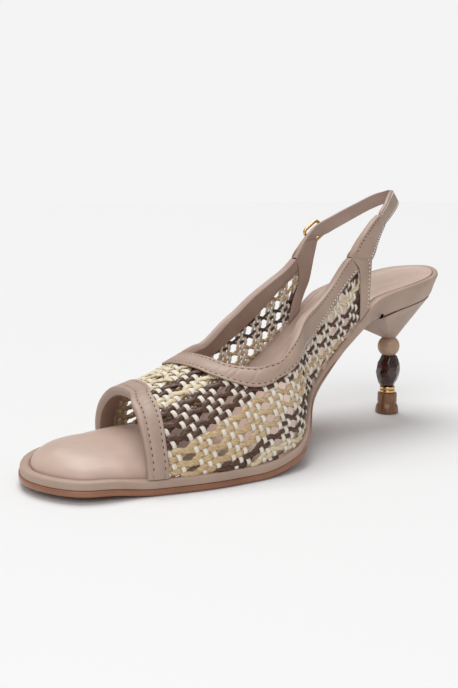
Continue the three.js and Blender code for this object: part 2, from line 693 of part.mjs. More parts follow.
function strapPoint(place, height, inward) {
  const t = THREE.MathUtils.clamp(place, 0, 1);
  const point = strapLine.getPointAt(t);
  const direction = strapLine.getTangentAt(t);
  return new THREE.Vector3(point.x - direction.y * inward, point.y + direction.x * inward, height);
}

function strapRibbon(rows, startThickness, endThickness, count) {
  const edge = (at, height, inward) => new THREE.CatmullRomCurve3(rows.map((row) => new THREE.Vector3(
    row[at] * strapLineLength,
    quarterEnd + row[height] * strapRise,
    row[inward] * strapLean,
  )));
  const low = edge('lowAt', 'low', 'lowIn');
  const high = edge('highAt', 'high', 'highIn');
  const rings = [];
  for (let i = 0; i <= count; i += 1) {
    const a = low.getPoint(i / count);
    const b = high.getPoint(i / count);
    const half = THREE.MathUtils.lerp(startThickness, endThickness, i / count) / 2;
    rings.push([
      strapPoint(a.x / strapLineLength, a.y, a.z + half), strapPoint(b.x / strapLineLength, b.y, b.z + half),
      strapPoint(b.x / strapLineLength, b.y, b.z - half), strapPoint(a.x / strapLineLength, a.y, a.z - half),
    ]);
  }
  const cap = [[0, 1, 2], [0, 2, 3]];
  return loft(rings, cap, cap);
}

// Heel
const turnedSteps = 22;

function turned(profile) {
  const points = profile.map(([radius, height]) => new THREE.Vector2(radius, height));
  return new THREE.LatheGeometry(points, turnedSteps).rotateX(Math.PI / 2);
}

const tipTop = tipHeight;
const lowerRingBase = tipTop + stackGap;
const upperRingBase = lowerRingBase + ringHeight + stackGap;
const beadBase = upperRingBase + ringHeight + stackGap;
const ballBase = beadBase + beadHeight + stackGap;
const ballHeight = 2 * Math.sqrt(ballRadius ** 2 - beadNeck ** 2);
const blockBase = ballBase + ballHeight + stackGap;

// Turned wooden tip: a flared foot, a groove and a straight neck
function heelTip() {
  const foot = tipRadius;
  const groove = 0.82 * tipRadius;
  return turned([
    [0, 0], [foot - 0.5, 0], [foot, 0.5], [foot, 0.11 * tipTop], [0.95 * foot, 0.3 * tipTop],
    [0.86 * foot, 0.42 * tipTop], [groove, 0.48 * tipTop], [groove, 0.52 * tipTop], [tipWaist, 0.59 * tipTop],
    [tipWaist, tipTop - 0.3], [tipWaist - 0.3, tipTop], [0, tipTop],
  ]);
}

function ring(base) {
  const edge = ringHeight / 4;
  return turned([
    [0, base], [ringRadius - edge, base], [ringRadius, base + edge],
    [ringRadius, base + ringHeight - edge], [ringRadius - edge, base + ringHeight], [0, base + ringHeight],
  ]);
}

const beadRows = [
  { rise: 0, width: 0.5 },
  { rise: 0.05, width: 0.62 },
  { rise: 0.16, width: 0.78 },
  { rise: 0.33, width: 0.94 },
  { rise: 0.5, width: 1 },
  { rise: 0.64, width: 0.97 },
  { rise: 0.8, width: 0.86 },
  { rise: 0.93, width: 0.7 },
  { rise: 1, width: 0.55 },
];
const facetTwist = 0.35; // turn of every other level of cut faces, as a share of one face
const beadTiltToward = 2.5; // direction in which the cut faces stand higher

function bead() {
  const sides = 9;
  const rings = beadRows.map(({ rise, width }, level) => {
    const points = [];
    for (let k = 0; k < sides; k += 1) {
      const angle = (2 * Math.PI * (k + facetTwist * (level % 2))) / sides;
      const cut = level > 0 && level < beadRows.length - 1;
      const tilt = cut ? 0.05 * beadHeight * Math.cos(angle - beadTiltToward) : 0;
      const radius = beadRadius * width;
      const height = beadBase + rise * beadHeight + tilt;
      points.push(new THREE.Vector3(radius * Math.cos(angle), radius * Math.sin(angle), height));
    }
    return points;
  });
  const cap = sectionCap(rings[0].map((p) => new THREE.Vector2(p.x, p.y)));
  return loft(rings, cap, cap);
}

function ball() {
  const profile = [[0, ballBase]];
  const steps = 8;
  const half = Math.acos(beadNeck / ballRadius);
  for (let i = 0; i <= steps; i += 1) {
    const angle = -half + (2 * half * i) / steps;
    profile.push([ballRadius * Math.cos(angle), ballBase + ballHeight / 2 + ballRadius * Math.sin(angle)]);
  }
  profile.push([0, ballBase + ballHeight]);
  return turned(profile);
}

// Cone from the joint on the ball up to the seat, cut straight across at the breast
function heelBlock() {
  const count = 40;
  const levels = [0, 0.25, 0.5, 0.75, 1];
  const top = outlineRing(randStep + seatUndercut + 0.4, 240);
  const directions = [];
  for (let k = 0; k < count; k += 1) {
    const angle = (2 * Math.PI * k) / count;
    directions.push(new THREE.Vector2(Math.cos(angle), Math.sin(angle)));
  }
  const reach = (away) => {
    let best = Infinity;
    top.forEach((a, i) => {
      const b = top[(i + 1) % top.length];
      const side = new THREE.Vector2(b.x - a.x, b.y - a.y);
      const denominator = away.x * side.y - away.y * side.x;
      const distance = (a.x * side.y - a.y * side.x) / denominator;
      const share = (a.x * away.y - a.y * away.x) / denominator;
      if (share >= 0 && share <= 1 && distance > 0) best = Math.min(best, distance);
    });
    let breast = Infinity;
    for (let step = 0; step < 8 && away.x > 0; step += 1) {
      const aside = Math.min(breast, best) * away.y;
      const hollow = breastHollow * Math.max(0, 1 - (aside / (ballWidth / 4)) ** 2);
      breast = (breastAt - hollow) / away.x;
    }
    return Math.min(best, breast);
  };
  const rings = levels.map((level) => directions.map((away) => {
    const edge = reach(away);
    const radius = THREE.MathUtils.lerp(jointRadius, edge, level);
    const rim = soleUnder(away.x * edge) - seatGap;
    return new THREE.Vector3(away.x * radius, away.y * radius, THREE.MathUtils.lerp(blockBase, rim, level));
  }));
  const cover = directions.map((away, k) => {
    const edge = rings[levels.length - 1][k];
    const point = edge.clone().multiplyScalar(0.5);
    point.z = soleUnder(point.x) - seatGap;
    return point;
  });
  const cap = sectionCap(rings[0].map((p) => new THREE.Vector2(p.x, p.y)));
  return loft([...rings, cover], cap, cap);
}

// Buckle on the outer side, where the strap meets the outer tab
function buckleFrame() {
  const corner = 2 * buckleWire;
  const outline = (length, width, radius) => {
    const path = new THREE.Shape();
    const x = length / 2;
    const y = width / 2;
    path.absarc(x - radius, y - radius, radius, 0, Math.PI / 2);
    path.absarc(radius - x, y - radius, radius, Math.PI / 2, Math.PI);
    path.absarc(radius - x, radius - y, radius, Math.PI, 1.5 * Math.PI);
    path.absarc(x - radius, radius - y, radius, 1.5 * Math.PI, 2 * Math.PI);
    return path;
  };
  const shape = outline(buckleLength, buckleWidth, corner);
  shape.holes.push(outline(buckleLength - 2 * buckleWire, buckleWidth - 2 * buckleWire, corner - buckleWire));
  return new THREE.ExtrudeGeometry(shape, { depth: buckleWire, bevelEnabled: false, curveSegments: 4 })
    .translate(0, 0, -buckleWire / 2);
}

function bucklePin() {
  const reach = buckleLength - 2 * (buckleWire + fit);
  return new THREE.CylinderGeometry(buckleWire / 2, buckleWire / 2, reach, 12).rotateZ(Math.PI / 2);
}

// The buckle's plane lies against the outer face of the strap, and its length follows the strap
function onBuckle() {
  const before = buckleAt - 1 / strapLineLength;
  const level = strapPoint(before, 0, 0).sub(strapPoint(buckleAt, 0, 0)).normalize();
  const along = level.clone().add(new THREE.Vector3(0, 0, buckleSlope)).normalize();
  const outward = new THREE.Vector3(0, 0, 1).cross(level).normalize();
  const across = outward.clone().cross(along).normalize();
  const height = quarterEnd + buckleRise * strapRise;
  const place = strapPoint(buckleAt, height, -(tabThickness / 2 + buckleStand + buckleWire / 2));
  return new THREE.Matrix4().makeBasis(along, across, outward).setPosition(place);
}

// Materials
const leather = { color: 0xab9488, roughness: 0.6, metalness: 0 };
const cord = { color: 0xd8cdb4, roughness: 0.7, metalness: 0 };
const pad = { color: 0xb79a90, roughness: 0.5, metalness: 0 };
const edgeLeather = { color: 0x9a6b4d, roughness: 0.6, metalness: 0 };
const gold = { color: 0xc8a468, roughness: 0.3, metalness: 1 };
const darkBead = { color: 0x2b1512, roughness: 0.2, metalness: 0 };
const beigeBead = { color: 0xa08468, roughness: 0.4, metalness: 0 };
const wood = { color: 0x7d4a2e, roughness: 0.4, metalness: 0 };

const sandal = new THREE.Group();
function piece(name, geometry, finish) {
  const mesh = new THREE.Mesh(geometry, new THREE.MeshStandardMaterial(finish));
  mesh.name = name;
  sandal.add(mesh);
}

piece('outsole', outsole(), edgeLeather);
piece('rand', rand(), leather);
piece('insole', insole(), pad);
piece('upper', upper(), cord);
piece('toe_band', binding(toeBandRows, bandSteps), leather);
piece('topline_binding', binding(toplineRows, toplineSteps), leather);
piece('inner_back_binding', binding(innerBackRows, backSteps), leather);
piece('outer_back_binding', binding(outerBackRows, backSteps), leather);
piece('inner_strap_tab', strapRibbon(tabRows, quarterThickness, tabThickness, 8), leather);
piece('slingback_strap', strapRibbon(strapRows, strapThickness, strapThickness, 36), leather);
piece('buckle_frame', buckleFrame().applyMatrix4(onBuckle()), gold);
piece('buckle_pin', bucklePin().applyMatrix4(onBuckle()), gold);
piece('heel_block', heelBlock(), leather);
piece('heel_ball', ball(), beigeBead);
piece('heel_bead', bead(), darkBead);
piece('upper_ring', ring(upperRingBase), gold);
piece('lower_ring', ring(lowerRingBase), gold);
piece('heel_tip', heelTip(), wood);

export default sandal;
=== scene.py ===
import math

import bmesh
import bpy
import mathutils
import numpy as np
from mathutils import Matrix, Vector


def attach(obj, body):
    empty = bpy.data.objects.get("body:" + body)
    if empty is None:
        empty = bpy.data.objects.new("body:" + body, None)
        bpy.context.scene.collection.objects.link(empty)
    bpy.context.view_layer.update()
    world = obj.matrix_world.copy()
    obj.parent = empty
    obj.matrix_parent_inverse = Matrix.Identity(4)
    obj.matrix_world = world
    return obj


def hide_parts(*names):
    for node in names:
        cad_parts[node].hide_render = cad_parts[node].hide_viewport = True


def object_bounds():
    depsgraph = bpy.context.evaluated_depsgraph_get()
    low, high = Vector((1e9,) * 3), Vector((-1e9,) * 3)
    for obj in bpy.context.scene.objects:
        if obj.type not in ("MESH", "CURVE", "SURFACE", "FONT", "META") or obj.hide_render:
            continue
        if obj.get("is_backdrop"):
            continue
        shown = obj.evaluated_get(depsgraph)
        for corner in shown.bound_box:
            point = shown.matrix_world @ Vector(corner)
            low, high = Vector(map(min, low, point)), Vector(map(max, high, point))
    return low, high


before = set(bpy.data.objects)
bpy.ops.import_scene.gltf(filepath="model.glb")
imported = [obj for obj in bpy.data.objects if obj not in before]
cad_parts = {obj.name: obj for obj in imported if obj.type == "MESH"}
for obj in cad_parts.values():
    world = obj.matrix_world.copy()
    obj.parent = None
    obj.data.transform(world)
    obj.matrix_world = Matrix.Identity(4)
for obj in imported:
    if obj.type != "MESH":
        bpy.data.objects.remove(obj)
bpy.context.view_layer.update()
rng = np.random.default_rng(7)

# Camera: the photograph's place and angle
view = {
    "lens": 47.09, "sensor": 36, "nearest": 0.02,
    "place": (0.3275, 0.2950, 0.1053), "tilt": 80.67, "turn": 142.2,
}
camera = bpy.data.objects.new("camera", bpy.data.cameras.new("camera"))
camera.data.sensor_width = view["sensor"]
camera.data.lens = view["lens"]
camera.data.clip_start = view["nearest"]
camera.location = view["place"]
camera.rotation_euler = (math.radians(view["tilt"]), 0, math.radians(view["turn"]))
bpy.context.scene.collection.objects.link(camera)
bpy.context.scene.camera = camera

# The last: sizes in millimetres, the tables in shares of them
sole = {
    "length": 224, "ballWidth": 80, "heelOverhang": 29, "heelHeight": 55, "toeSpring": 2.3, "outsole": 2.3,
    "topFront": 5.4, "topWaist": 3.8, "topSeat": 10.8, "randStep": 0.6, "groove": 0.9, "breastAt": 22,
    "edgeToe": 4.5, "edgeUpper": 5.3, "edgeSeat": 3.4, "seatUndercut": 3.2, "clearance": 0.3, "steps": 440,
    "shank": (1.6, 3.4), "waist": (3.4, 5),  # where they begin and end, in breast distances
}
outlineRows = [  # along, across
    (1.0, 0.061), (0.96, 0.336), (0.858, 0.444), (0.715, 0.558), (0.555, 0.549),
    (0.434, 0.283), (0.275, 0.226), (0.138, 0.25), (0.048, 0.18), (0.0, -0.015),
    (0.031, -0.25), (0.123, -0.328), (0.283, -0.359), (0.464, -0.385), (0.621, -0.435),
    (0.751, -0.438), (0.89, -0.349), (0.968, -0.18),
]
archRows = [  # along, rise
    (-0.02, 1.118), (0.085, 1.029), (0.196, 0.945), (0.308, 0.775), (0.397, 0.52),
    (0.487, 0.273), (0.576, 0.055), (0.66, 0), (0.85, 0), (1.02, 0),
]
springRows = [  # along, rise
    (0.5, 0), (0.84, 0), (0.92, 0.85), (1.02, 1),
]
crownRows = [  # along, height
    (0.085, 1.697), (0.219, 1.51), (0.353, 1.295), (0.487, 1.02), (0.576, 0.769),
    (0.665, 0.594), (0.754, 0.468), (0.821, 0.408), (0.888, 0.344),
]
bandFront = 0.862
last = {
    "instep": 62, "featherInset": 2, "crownOffset": 0.055, "innerFullness": 2.4, "outerFullness": 2.33,
    "heightFullness": 1.73, "skinDepth": 0.7, "chart": 60, "ringSteps": 960,
}


def smoothstep(x, low, high):
    t = np.clip((np.asarray(x, float) - low) / (high - low), 0, 1)
    return t * t * (3 - 2 * t)


def lerp(a, b, t):
    return a + (b - a) * t


def column(rows, key, value):  # smooth monotone curve through one column of a table
    table = np.array(rows, float)
    places, values = table[:, 0], table[:, key]
    secants = np.diff(values) / np.diff(places)
    product = secants[:-1] * secants[1:]
    total = secants[:-1] + secants[1:]
    inner = np.where(product > 0, 2 * product / np.where(product > 0, total, 1), 0)
    tangents = np.concatenate([secants[:1], inner, secants[-1:]])
    value = np.asarray(value, float)
    cell = np.clip(np.searchsorted(places, value, side="left") - 1, 0, len(places) - 2)
    span = places[cell + 1] - places[cell]
    t = np.clip((value - places[cell]) / span, 0, 1)
    h = t * t * (3 - 2 * t)
    rise = (1 - t) ** 2 * t * tangents[cell] - t * t * (1 - t) * tangents[cell + 1]
    return values[cell] * (1 - h) + values[cell + 1] * h + rise * span


def spline(points, closed, places):  # centripetal curve through points, place 0 to 1
    points = np.array(points, float)
    spans = len(points) if closed else len(points) - 1
    if closed:
        padded = np.vstack([points[-1:], points, points[:2]])
    else:
        padded = np.vstack([2 * points[:1] - points[1:2], points, 2 * points[-1:] - points[-2:-1]])
    p = np.clip(np.asarray(places, float), 0, 1) * spans
    cell = np.minimum(p.astype(int), spans - 1)
    t = (p - cell)[:, None]
    before, a, b, after = (padded[cell + k] for k in range(4))
    pairs = ((a, before), (b, a), (after, b))
    d0, d1, d2 = (np.sqrt(np.linalg.norm(q - r, axis=1))[:, None] for q, r in pairs)
    slopeA = ((a - before) / d0 - (b - before) / (d0 + d1) + (b - a) / d1) * d1
    slopeB = ((b - a) / d1 - (after - a) / (d1 + d2) + (after - b) / d2) * d1
    square = -3 * a + 3 * b - 2 * slopeA - slopeB
    cube = 2 * a - 2 * b + slopeA + slopeB
    return a + slopeA * t + square * t ** 2 + cube * t ** 3


def atLength(along):
    return np.asarray(along, float) * sole["length"] - sole["heelOverhang"]


def shareAt(x):
    return (np.asarray(x, float) + sole["heelOverhang"]) / sole["length"]


def soleUnder(x):
    share = shareAt(x)
    return column(archRows, 1, share) * sole["heelHeight"] + column(springRows, 1, share) * sole["toeSpring"]


def towardSeat(x):
    return 1 - smoothstep(x, sole["breastAt"] + 2, 2 * sole["breastAt"] + 2)


def randTop(x):
    waist = 1 - smoothstep(x, sole["waist"][0] * sole["breastAt"], sole["waist"][1] * sole["breastAt"])
    return lerp(lerp(sole["topFront"], sole["topWaist"], waist), sole["topSeat"], towardSeat(x))


def travelled(points):  # length gone along a line at each of its points
    return np.concatenate([[0], np.cumsum(np.linalg.norm(np.diff(points, axis=0), axis=1))])


def outlinePoints(count):  # equally spaced places and directions along the sole's outline
    anchors = [(float(atLength(along)), across * sole["ballWidth"]) for along, across in outlineRows]
    dense = spline(anchors, True, np.linspace(0, 1, 6001))
    gone = travelled(dense)
    places = np.arange(count) / count * gone[-1]
    points, ahead, behind = (
        np.stack([np.interp((places + step) % gone[-1], gone, dense[:, k]) for k in range(2)], 1)
        for step in (0, 0.2, -0.2)
    )
    direction = ahead - behind
    return points, direction / np.linalg.norm(direction, axis=1)[:, None]


def outlineRing(inset, count):
    points, direction = outlinePoints(count)
    depth = inset(points[:, 0]) if callable(inset) else np.full(count, float(inset))
    return points + np.stack([-direction[:, 1], direction[:, 0]], 1) * depth[:, None]


featherRing = outlineRing(last["featherInset"], last["ringSteps"])
toeAt, heelAt = featherRing[:, 0].argmax(), featherRing[:, 0].argmin()
innerSide = np.roll(featherRing, -toeAt, axis=0)[: (heelAt - toeAt) % last["ringSteps"] + 1][::-1]
outerSide = np.roll(featherRing, -heelAt, axis=0)[: (toeAt - heelAt) % last["ringSteps"] + 1]


def lastPoint(x, around):  # around is 1 at the sole on the inner side, 0 on the crown, -1 on the outer side
    inner = np.interp(x, innerSide[:, 0], innerSide[:, 1])
    outer = np.interp(x, outerSide[:, 0], outerSide[:, 1])
    middle = (inner + outer) / 2 + last["crownOffset"] * (inner - outer)
    half = np.where(around > 0, inner - middle, outer - middle)
    fullness = np.where(around > 0, last["innerFullness"], last["outerFullness"])
    angle = (1 - np.minimum(np.abs(around), 1)) * math.pi / 2
    height = column(crownRows, 1, shareAt(x)) * last["instep"]
    return np.stack([
        x,
        middle + half * np.maximum(np.cos(angle), 0) ** (2 / fullness),
        soleUnder(x) + randTop(x) + height * np.maximum(np.sin(angle), 0) ** (2 / last["heightFullness"]),
    ], -1)


def onSkin(flat, distance):  # flat is (place along the shoe, way round the last)
    x, around = flat[..., 0], flat[..., 1] / last["chart"]
    middle = np.clip(around, -0.98, 0.98)
    alongX = lastPoint(x + 1, middle) - lastPoint(x - 1, middle)
    across = lastPoint(x, middle + 0.02) - lastPoint(x, middle - 0.02)
    normal = np.cross(alongX, across)
    normal /= np.linalg.norm(normal, axis=-1)[..., None]
    return lastPoint(x, around) + normal * (np.asarray(distance)[..., None] - last["skinDepth"])


# Mesh making: a store gathers sweeps of rings, in millimetres
def newStore():
    return {"points": [], "faces": [], "uvs": [], "slots": [], "count": 0}


def addSweep(store, rings, lengths=None, closed=False, capped=True, slots=None):
    rings = np.asarray(rings, float)
    n, m = rings.shape[:2]
    if lengths is None:
        lengths = travelled(rings.mean(1))
    base = store["count"]
    store["points"].append(rings.reshape(-1, 3))
    store["count"] += n * m
    spans = n if closed else n - 1
    i, j = (g.ravel() for g in np.meshgrid(np.arange(spans), np.arange(m), indexing="ij"))
    nextI, nextJ = (i + 1) % n, (j + 1) % m
    quads = base + np.stack([i * m + j, i * m + nextJ, nextI * m + nextJ, nextI * m + j], 1)
    store["faces"].extend(quads.tolist())
    u0, u1 = lengths[i], np.where(nextI > i, lengths[nextI], lengths[i] + 1)
    v0, v1 = j / m, (j + 1) / m
    store["uvs"].append(np.stack([u0, v0, u0, v1, u1, v1, u1, v0], 1).reshape(-1, 2))
    store["slots"].extend([0] * len(quads) if slots is None else [slots[k] for k in j])
    if capped and not closed:
        for start, order in ((0, -1), (n - 1, 1)):
            store["faces"].append([base + start * m + k for k in range(m)][::order])
            store["uvs"].append(np.tile([lengths[start], 0.5], (m, 1)))
            store["slots"].append(0)


def pieceFrom(store, name, materials, smooth):  # edges sharper than the angle smooth stay sharp
    mesh = bpy.data.meshes.new(name)
    mesh.from_pydata((np.vstack(store["points"]) * 0.001).tolist(), [], store["faces"])
    layer = mesh.uv_layers.new(name="uv")
    layer.data.foreach_set("uv", np.vstack(store["uvs"]).astype(np.float32).ravel())
    mesh.polygons.foreach_set("material_index", np.array(store["slots"], np.int32))
    for material in materials:
        mesh.materials.append(material)
    work = bmesh.new()
    work.from_mesh(mesh)
    bmesh.ops.dissolve_degenerate(work, dist=2e-6, edges=work.edges)
    bmesh.ops.recalc_face_normals(work, faces=work.faces)
    work.to_mesh(mesh)
    work.free()
    mesh.polygons.foreach_set("use_smooth", [True] * len(mesh.polygons))
    mesh.set_sharp_from_angle(angle=math.radians(smooth))
    piece = bpy.data.objects.new(name, mesh)
    bpy.context.scene.collection.objects.link(piece)
    return piece


def finished(piece, slot, *nodes):
    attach(piece, "root")
    if nodes:
        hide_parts(*nodes)
    print("made", piece.name, len(piece.data.polygons), "faces")
    return piece


# Materials
def newMaterial(name, roughness, metallic=0.0, coat=0.0, sheen=0.0, ior=1.5):
    material = bpy.data.materials.new(name)
    material.use_nodes = True
    shader = material.node_tree.nodes["Principled BSDF"]
    for socket, value in (
        ("Roughness", roughness), ("Metallic", metallic), ("Coat Weight", coat), ("Coat Roughness", 0.2),
        ("Sheen Weight", sheen), ("IOR", ior),
    ):
        shader.inputs[socket].default_value = value
    return material, material.node_tree, shader


def addNode(tree, kind, **settings):
    node = tree.nodes.new(kind)
    for key, value in settings.items():
        if key in node.inputs:
            node.inputs[key].default_value = value
        else:
            setattr(node, key, value)
    return node


def colourRamp(tree, source, stops):
    ramp = tree.nodes.new("ShaderNodeValToRGB")
    while len(ramp.color_ramp.elements) < len(stops):
        ramp.color_ramp.elements.new(0.5)
    for element, (place, colour) in zip(ramp.color_ramp.elements, stops):
        element.position = place
        element.color = (*colour, 1)
    tree.links.new(source, ramp.inputs[0])
    return ramp.outputs[0]


def bumpFrom(tree, shader, heights, strength, distance):
    previous = None
    for height, share in heights:
        bump = addNode(tree, "ShaderNodeBump", Strength=strength * share, Distance=distance)
        tree.links.new(height, bump.inputs["Height"])
        if previous:
            tree.links.new(previous, bump.inputs["Normal"])
        previous = bump.outputs[0]
    tree.links.new(previous, shader.inputs["Normal"])


def leatherMaterial(name, dark, light, roughness, grain=1500, coat=0.06, strength=0.35):
    material, tree, shader = newMaterial(name, roughness, coat=coat)
    place = tree.nodes.new("ShaderNodeTexCoord").outputs["Object"]
    patches = addNode(tree, "ShaderNodeTexNoise", Scale=60.0, Detail=5.0, Roughness=0.6)
    pores = addNode(tree, "ShaderNodeTexVoronoi", Scale=float(grain), feature="DISTANCE_TO_EDGE")
    wrinkles = addNode(tree, "ShaderNodeTexNoise", Scale=grain * 0.35, Detail=6.0, Roughness=0.65)
    for texture in (patches, pores, wrinkles):
        tree.links.new(place, texture.inputs["Vector"])
    colour = colourRamp(tree, patches.outputs[0], [(0.3, dark), (0.72, light)])
    tree.links.new(colour, shader.inputs["Base Color"])
    sheen = addNode(tree, "ShaderNodeMapRange")
    sheen.inputs["To Min"].default_value = roughness - 0.06
    sheen.inputs["To Max"].default_value = roughness + 0.08
    tree.links.new(wrinkles.outputs[0], sheen.inputs["Value"])
    tree.links.new(sheen.outputs[0], shader.inputs["Roughness"])
    bumpFrom(tree, shader, [(pores.outputs["Distance"], 0.6), (wrinkles.outputs[0], 1.0)], strength, 0.00015)
    return material


def cordMaterial(name, dark, light, roughness, ridges, pitch, coat=0.0, twist=0.0):  # ridges round a strand
    material, tree, shader = newMaterial(name, roughness, coat=coat)
    uv = tree.nodes.new("ShaderNodeUVMap")
    uv.uv_map = "uv"
    split = tree.nodes.new("ShaderNodeSeparateXYZ")
    tree.links.new(uv.outputs[0], split.inputs[0])
    turn = addNode(tree, "ShaderNodeMath", operation="MULTIPLY_ADD")
    turn.inputs[1].default_value = twist
    tree.links.new(split.outputs[0], turn.inputs[0])
    tree.links.new(split.outputs[1], turn.inputs[2])
    angle = addNode(tree, "ShaderNodeMath", operation="MULTIPLY")
    angle.inputs[1].default_value = ridges * 2 * math.pi
    tree.links.new(turn.outputs[0], angle.inputs[0])
    ridge = addNode(tree, "ShaderNodeMath", operation="SINE")
    tree.links.new(angle.outputs[0], ridge.inputs[0])
    stretch = tree.nodes.new("ShaderNodeCombineXYZ")
    length = addNode(tree, "ShaderNodeMath", operation="MULTIPLY")
    length.inputs[1].default_value = 1 / pitch
    around = addNode(tree, "ShaderNodeMath", operation="MULTIPLY")
    around.inputs[1].default_value = 5.0
    tree.links.new(split.outputs[0], length.inputs[0])
    tree.links.new(turn.outputs[0], around.inputs[0])
    tree.links.new(length.outputs[0], stretch.inputs[0])
    tree.links.new(around.outputs[0], stretch.inputs[1])
    fibres = addNode(tree, "ShaderNodeTexNoise", Scale=2.0, Detail=4.0, Roughness=0.7)
    tree.links.new(stretch.outputs[0], fibres.inputs["Vector"])
    colour = colourRamp(tree, fibres.outputs[0], [(0.32, dark), (0.68, light)])
    tree.links.new(colour, shader.inputs["Base Color"])
    bumpFrom(tree, shader, [(ridge.outputs[0], 0.5), (fibres.outputs[0], 1.0)], 0.5, 0.00018)
    return material


taupe = leatherMaterial("taupe leather", (0.36, 0.25, 0.195), (0.46, 0.33, 0.26), 0.5)
lining = leatherMaterial("leather lining", (0.33, 0.225, 0.185), (0.42, 0.3, 0.25), 0.55, coat=0.0)
insoleLeather = leatherMaterial(
    "insole leather", (0.5, 0.36, 0.29), (0.58, 0.425, 0.35), 0.44, grain=1900, coat=0.14,
)
edgeLeather = leatherMaterial("polished sole edge", (0.22, 0.085, 0.04), (0.33, 0.14, 0.07), 0.35, coat=0.3)
whiteCord = cordMaterial("white cord", (0.64, 0.57, 0.47), (0.9, 0.85, 0.76), 0.5, 4, 6.0)
creamStrand = cordMaterial("cream strand", (0.56, 0.44, 0.26), (0.8, 0.7, 0.49), 0.4, 3, 5.0, 0.1, 0.12)
strawStrand = cordMaterial("straw strand", (0.36, 0.22, 0.1), (0.74, 0.56, 0.33), 0.38, 3, 5.0, 0.12, 0.12)
brownStrand = cordMaterial(
    "brown strand", (0.022, 0.008, 0.004), (0.14, 0.058, 0.03), 0.42, 3, 5.0, 0.05, 0.12,
)
print("leathers and cords mixed")

# Sole: layers of rings inside the outline, closed across by rungs
def addLayer(store, levels, frontOnly=None):  # each level: inset, pull towards the middle line, height
    count = sole["steps"]
    mirror = (count - np.arange(count)) % count
    rings = []
    for inset, pull, height in levels:
        ring = outlineRing(inset, count)
        ring = lerp(ring, (ring + ring[mirror]) / 2, pull)
        x = ring[:, 0] if frontOnly is None else np.maximum(ring[:, 0], frontOnly)
        rings.append(np.stack([x, ring[:, 1], soleUnder(x) + height(x)], 1))
    base = store["count"]
    addSweep(store, rings, capped=False)
    for start in (base, base + (len(rings) - 1) * count):
        for i in range(count // 2):
            rung = list(dict.fromkeys([i, i + 1, (count - i - 1) % count, (count - i) % count]))
            store["faces"].append([start + k for k in rung])
            store["uvs"].append(np.array([[rings[0][k, 0], rings[0][k, 1]] for k in rung]))
            store["slots"].append(0)


def insoleEdge(x):
    front = smoothstep(x, atLength(bandFront), atLength(bandFront) + 6)
    body = lerp(sole["edgeUpper"], sole["edgeToe"], front)
    return lerp(body, sole["edgeSeat"], towardSeat(np.asarray(x) + 0.9 * sole["breastAt"]))


def towardShank(x):
    return 1 - smoothstep(x, sole["shank"][0] * sole["breastAt"], sole["shank"][1] * sole["breastAt"])


outsoleSizes = {"setBack": 1.1, "slope": 0.33}
outsoleRows = [  # inset, height
    (4, 0), (0.9, 0), (0.35, 0.12), (0.05, 0.5), (0, 1.2), (0.06, 2.1),
    (0.25, sole["outsole"]), (2, sole["outsole"]),
]


def outsoleLevel(inset, height):  # towards the seat the side is undercut and set back behind the rand
    undercut = sole["seatUndercut"] * (1 - outsoleSizes["slope"] * height / sole["outsole"])
    return (
        lambda x: inset + undercut * towardSeat(x) + outsoleSizes["setBack"] * towardShank(x),
        0,
        lambda x: height + 0 * x,
    )


outsoleStore = newStore()
outsoleLevels = [outsoleLevel(*row) for row in outsoleRows]
addLayer(outsoleStore, outsoleLevels, frontOnly=sole["breastAt"] + sole["clearance"])
finished(pieceFrom(outsoleStore, "outsole_leather", [edgeLeather], 50), "edge_leather", "outsole")

randSizes = {
    "overOutsole": sole["outsole"] + sole["clearance"] / 2, "overShank": 0.2, "from": sole["breastAt"] + 0.2,
}
randFoot = (1.6, 1.0)  # insets under the rand's side
randSideRows = [  # inset, share of the height
    (0.25, 0.1), (0.05, 0.18), (0, 0.3), (0, 0.45),
]
randRimRows = [  # inset, depth under the top
    (-0.05, 1.5), (0.05, 0.75), (0.35, 0.25), (0.85, 0.02),
]
randGrooveRows = [  # inset from the insole's edge, depth under the top
    (-1.0, 0), (-0.55, 0.25), (-0.2, sole["groove"]),
]


def randBase(x):
    base = lerp(randSizes["overOutsole"], randSizes["overShank"], towardShank(x))
    return np.where(x > randSizes["from"], base, 0.0)


def randUnder(inset):
    return lambda x: sole["randStep"] + inset + sole["seatUndercut"] * towardSeat(x), 0, randBase


def randSide(inset, share):  # inset and height of the rand's side wall, pulled in below the seat
    return (
        lambda x: sole["randStep"] + inset + sole["seatUndercut"] * (1 - share) * towardSeat(x),
        0,
        lambda x: np.maximum(randBase(x) + 0.25 * share, share * randTop(x)),
    )


def under(depth):
    return lambda x: randTop(x) - depth


def fromInsole(inset):
    return lambda x: insoleEdge(x) + inset


randStore = newStore()
addLayer(randStore, [
    (5, 0, lambda x: np.where(x > randSizes["from"], randSizes["overOutsole"], 0.0)),
    *[randUnder(inset) for inset in randFoot],
    *[randSide(*row) for row in randSideRows],
    *[(sole["randStep"] + inset, 0, under(depth)) for inset, depth in randRimRows],
    (lambda x: lerp(insoleEdge(x), sole["randStep"], 0.5), 0, under(-0.05)),
    *[(fromInsole(inset), 0, under(depth)) for inset, depth in randGrooveRows],
])
finished(pieceFrom(randStore, "rand_leather", [taupe], 50), "taupe_leather", "rand")

pad = {  # heights of the padding along the shoe and where it changes, then its section
    "seat": 0.6, "body": 3.6, "crown": 9.2, "toe": 5.6,
    "toeFrom": 158, "toeBy": 196, "crownFrom": 0.62, "crownBy": 0.78,
    "width": 9, "pull": 0.8, "edgeRise": 0.24, "edgeSharpness": 12,
    "line": 0.3, "lineAt": 0.5, "lineWidth": 0.035,
}
padShares = (0.012, 0.035, 0.07, 0.12, 0.2, 0.3, 0.42, 0.46, 0.48, 0.5, 0.52, 0.54, 0.6, 0.72, 0.88, 1.0)


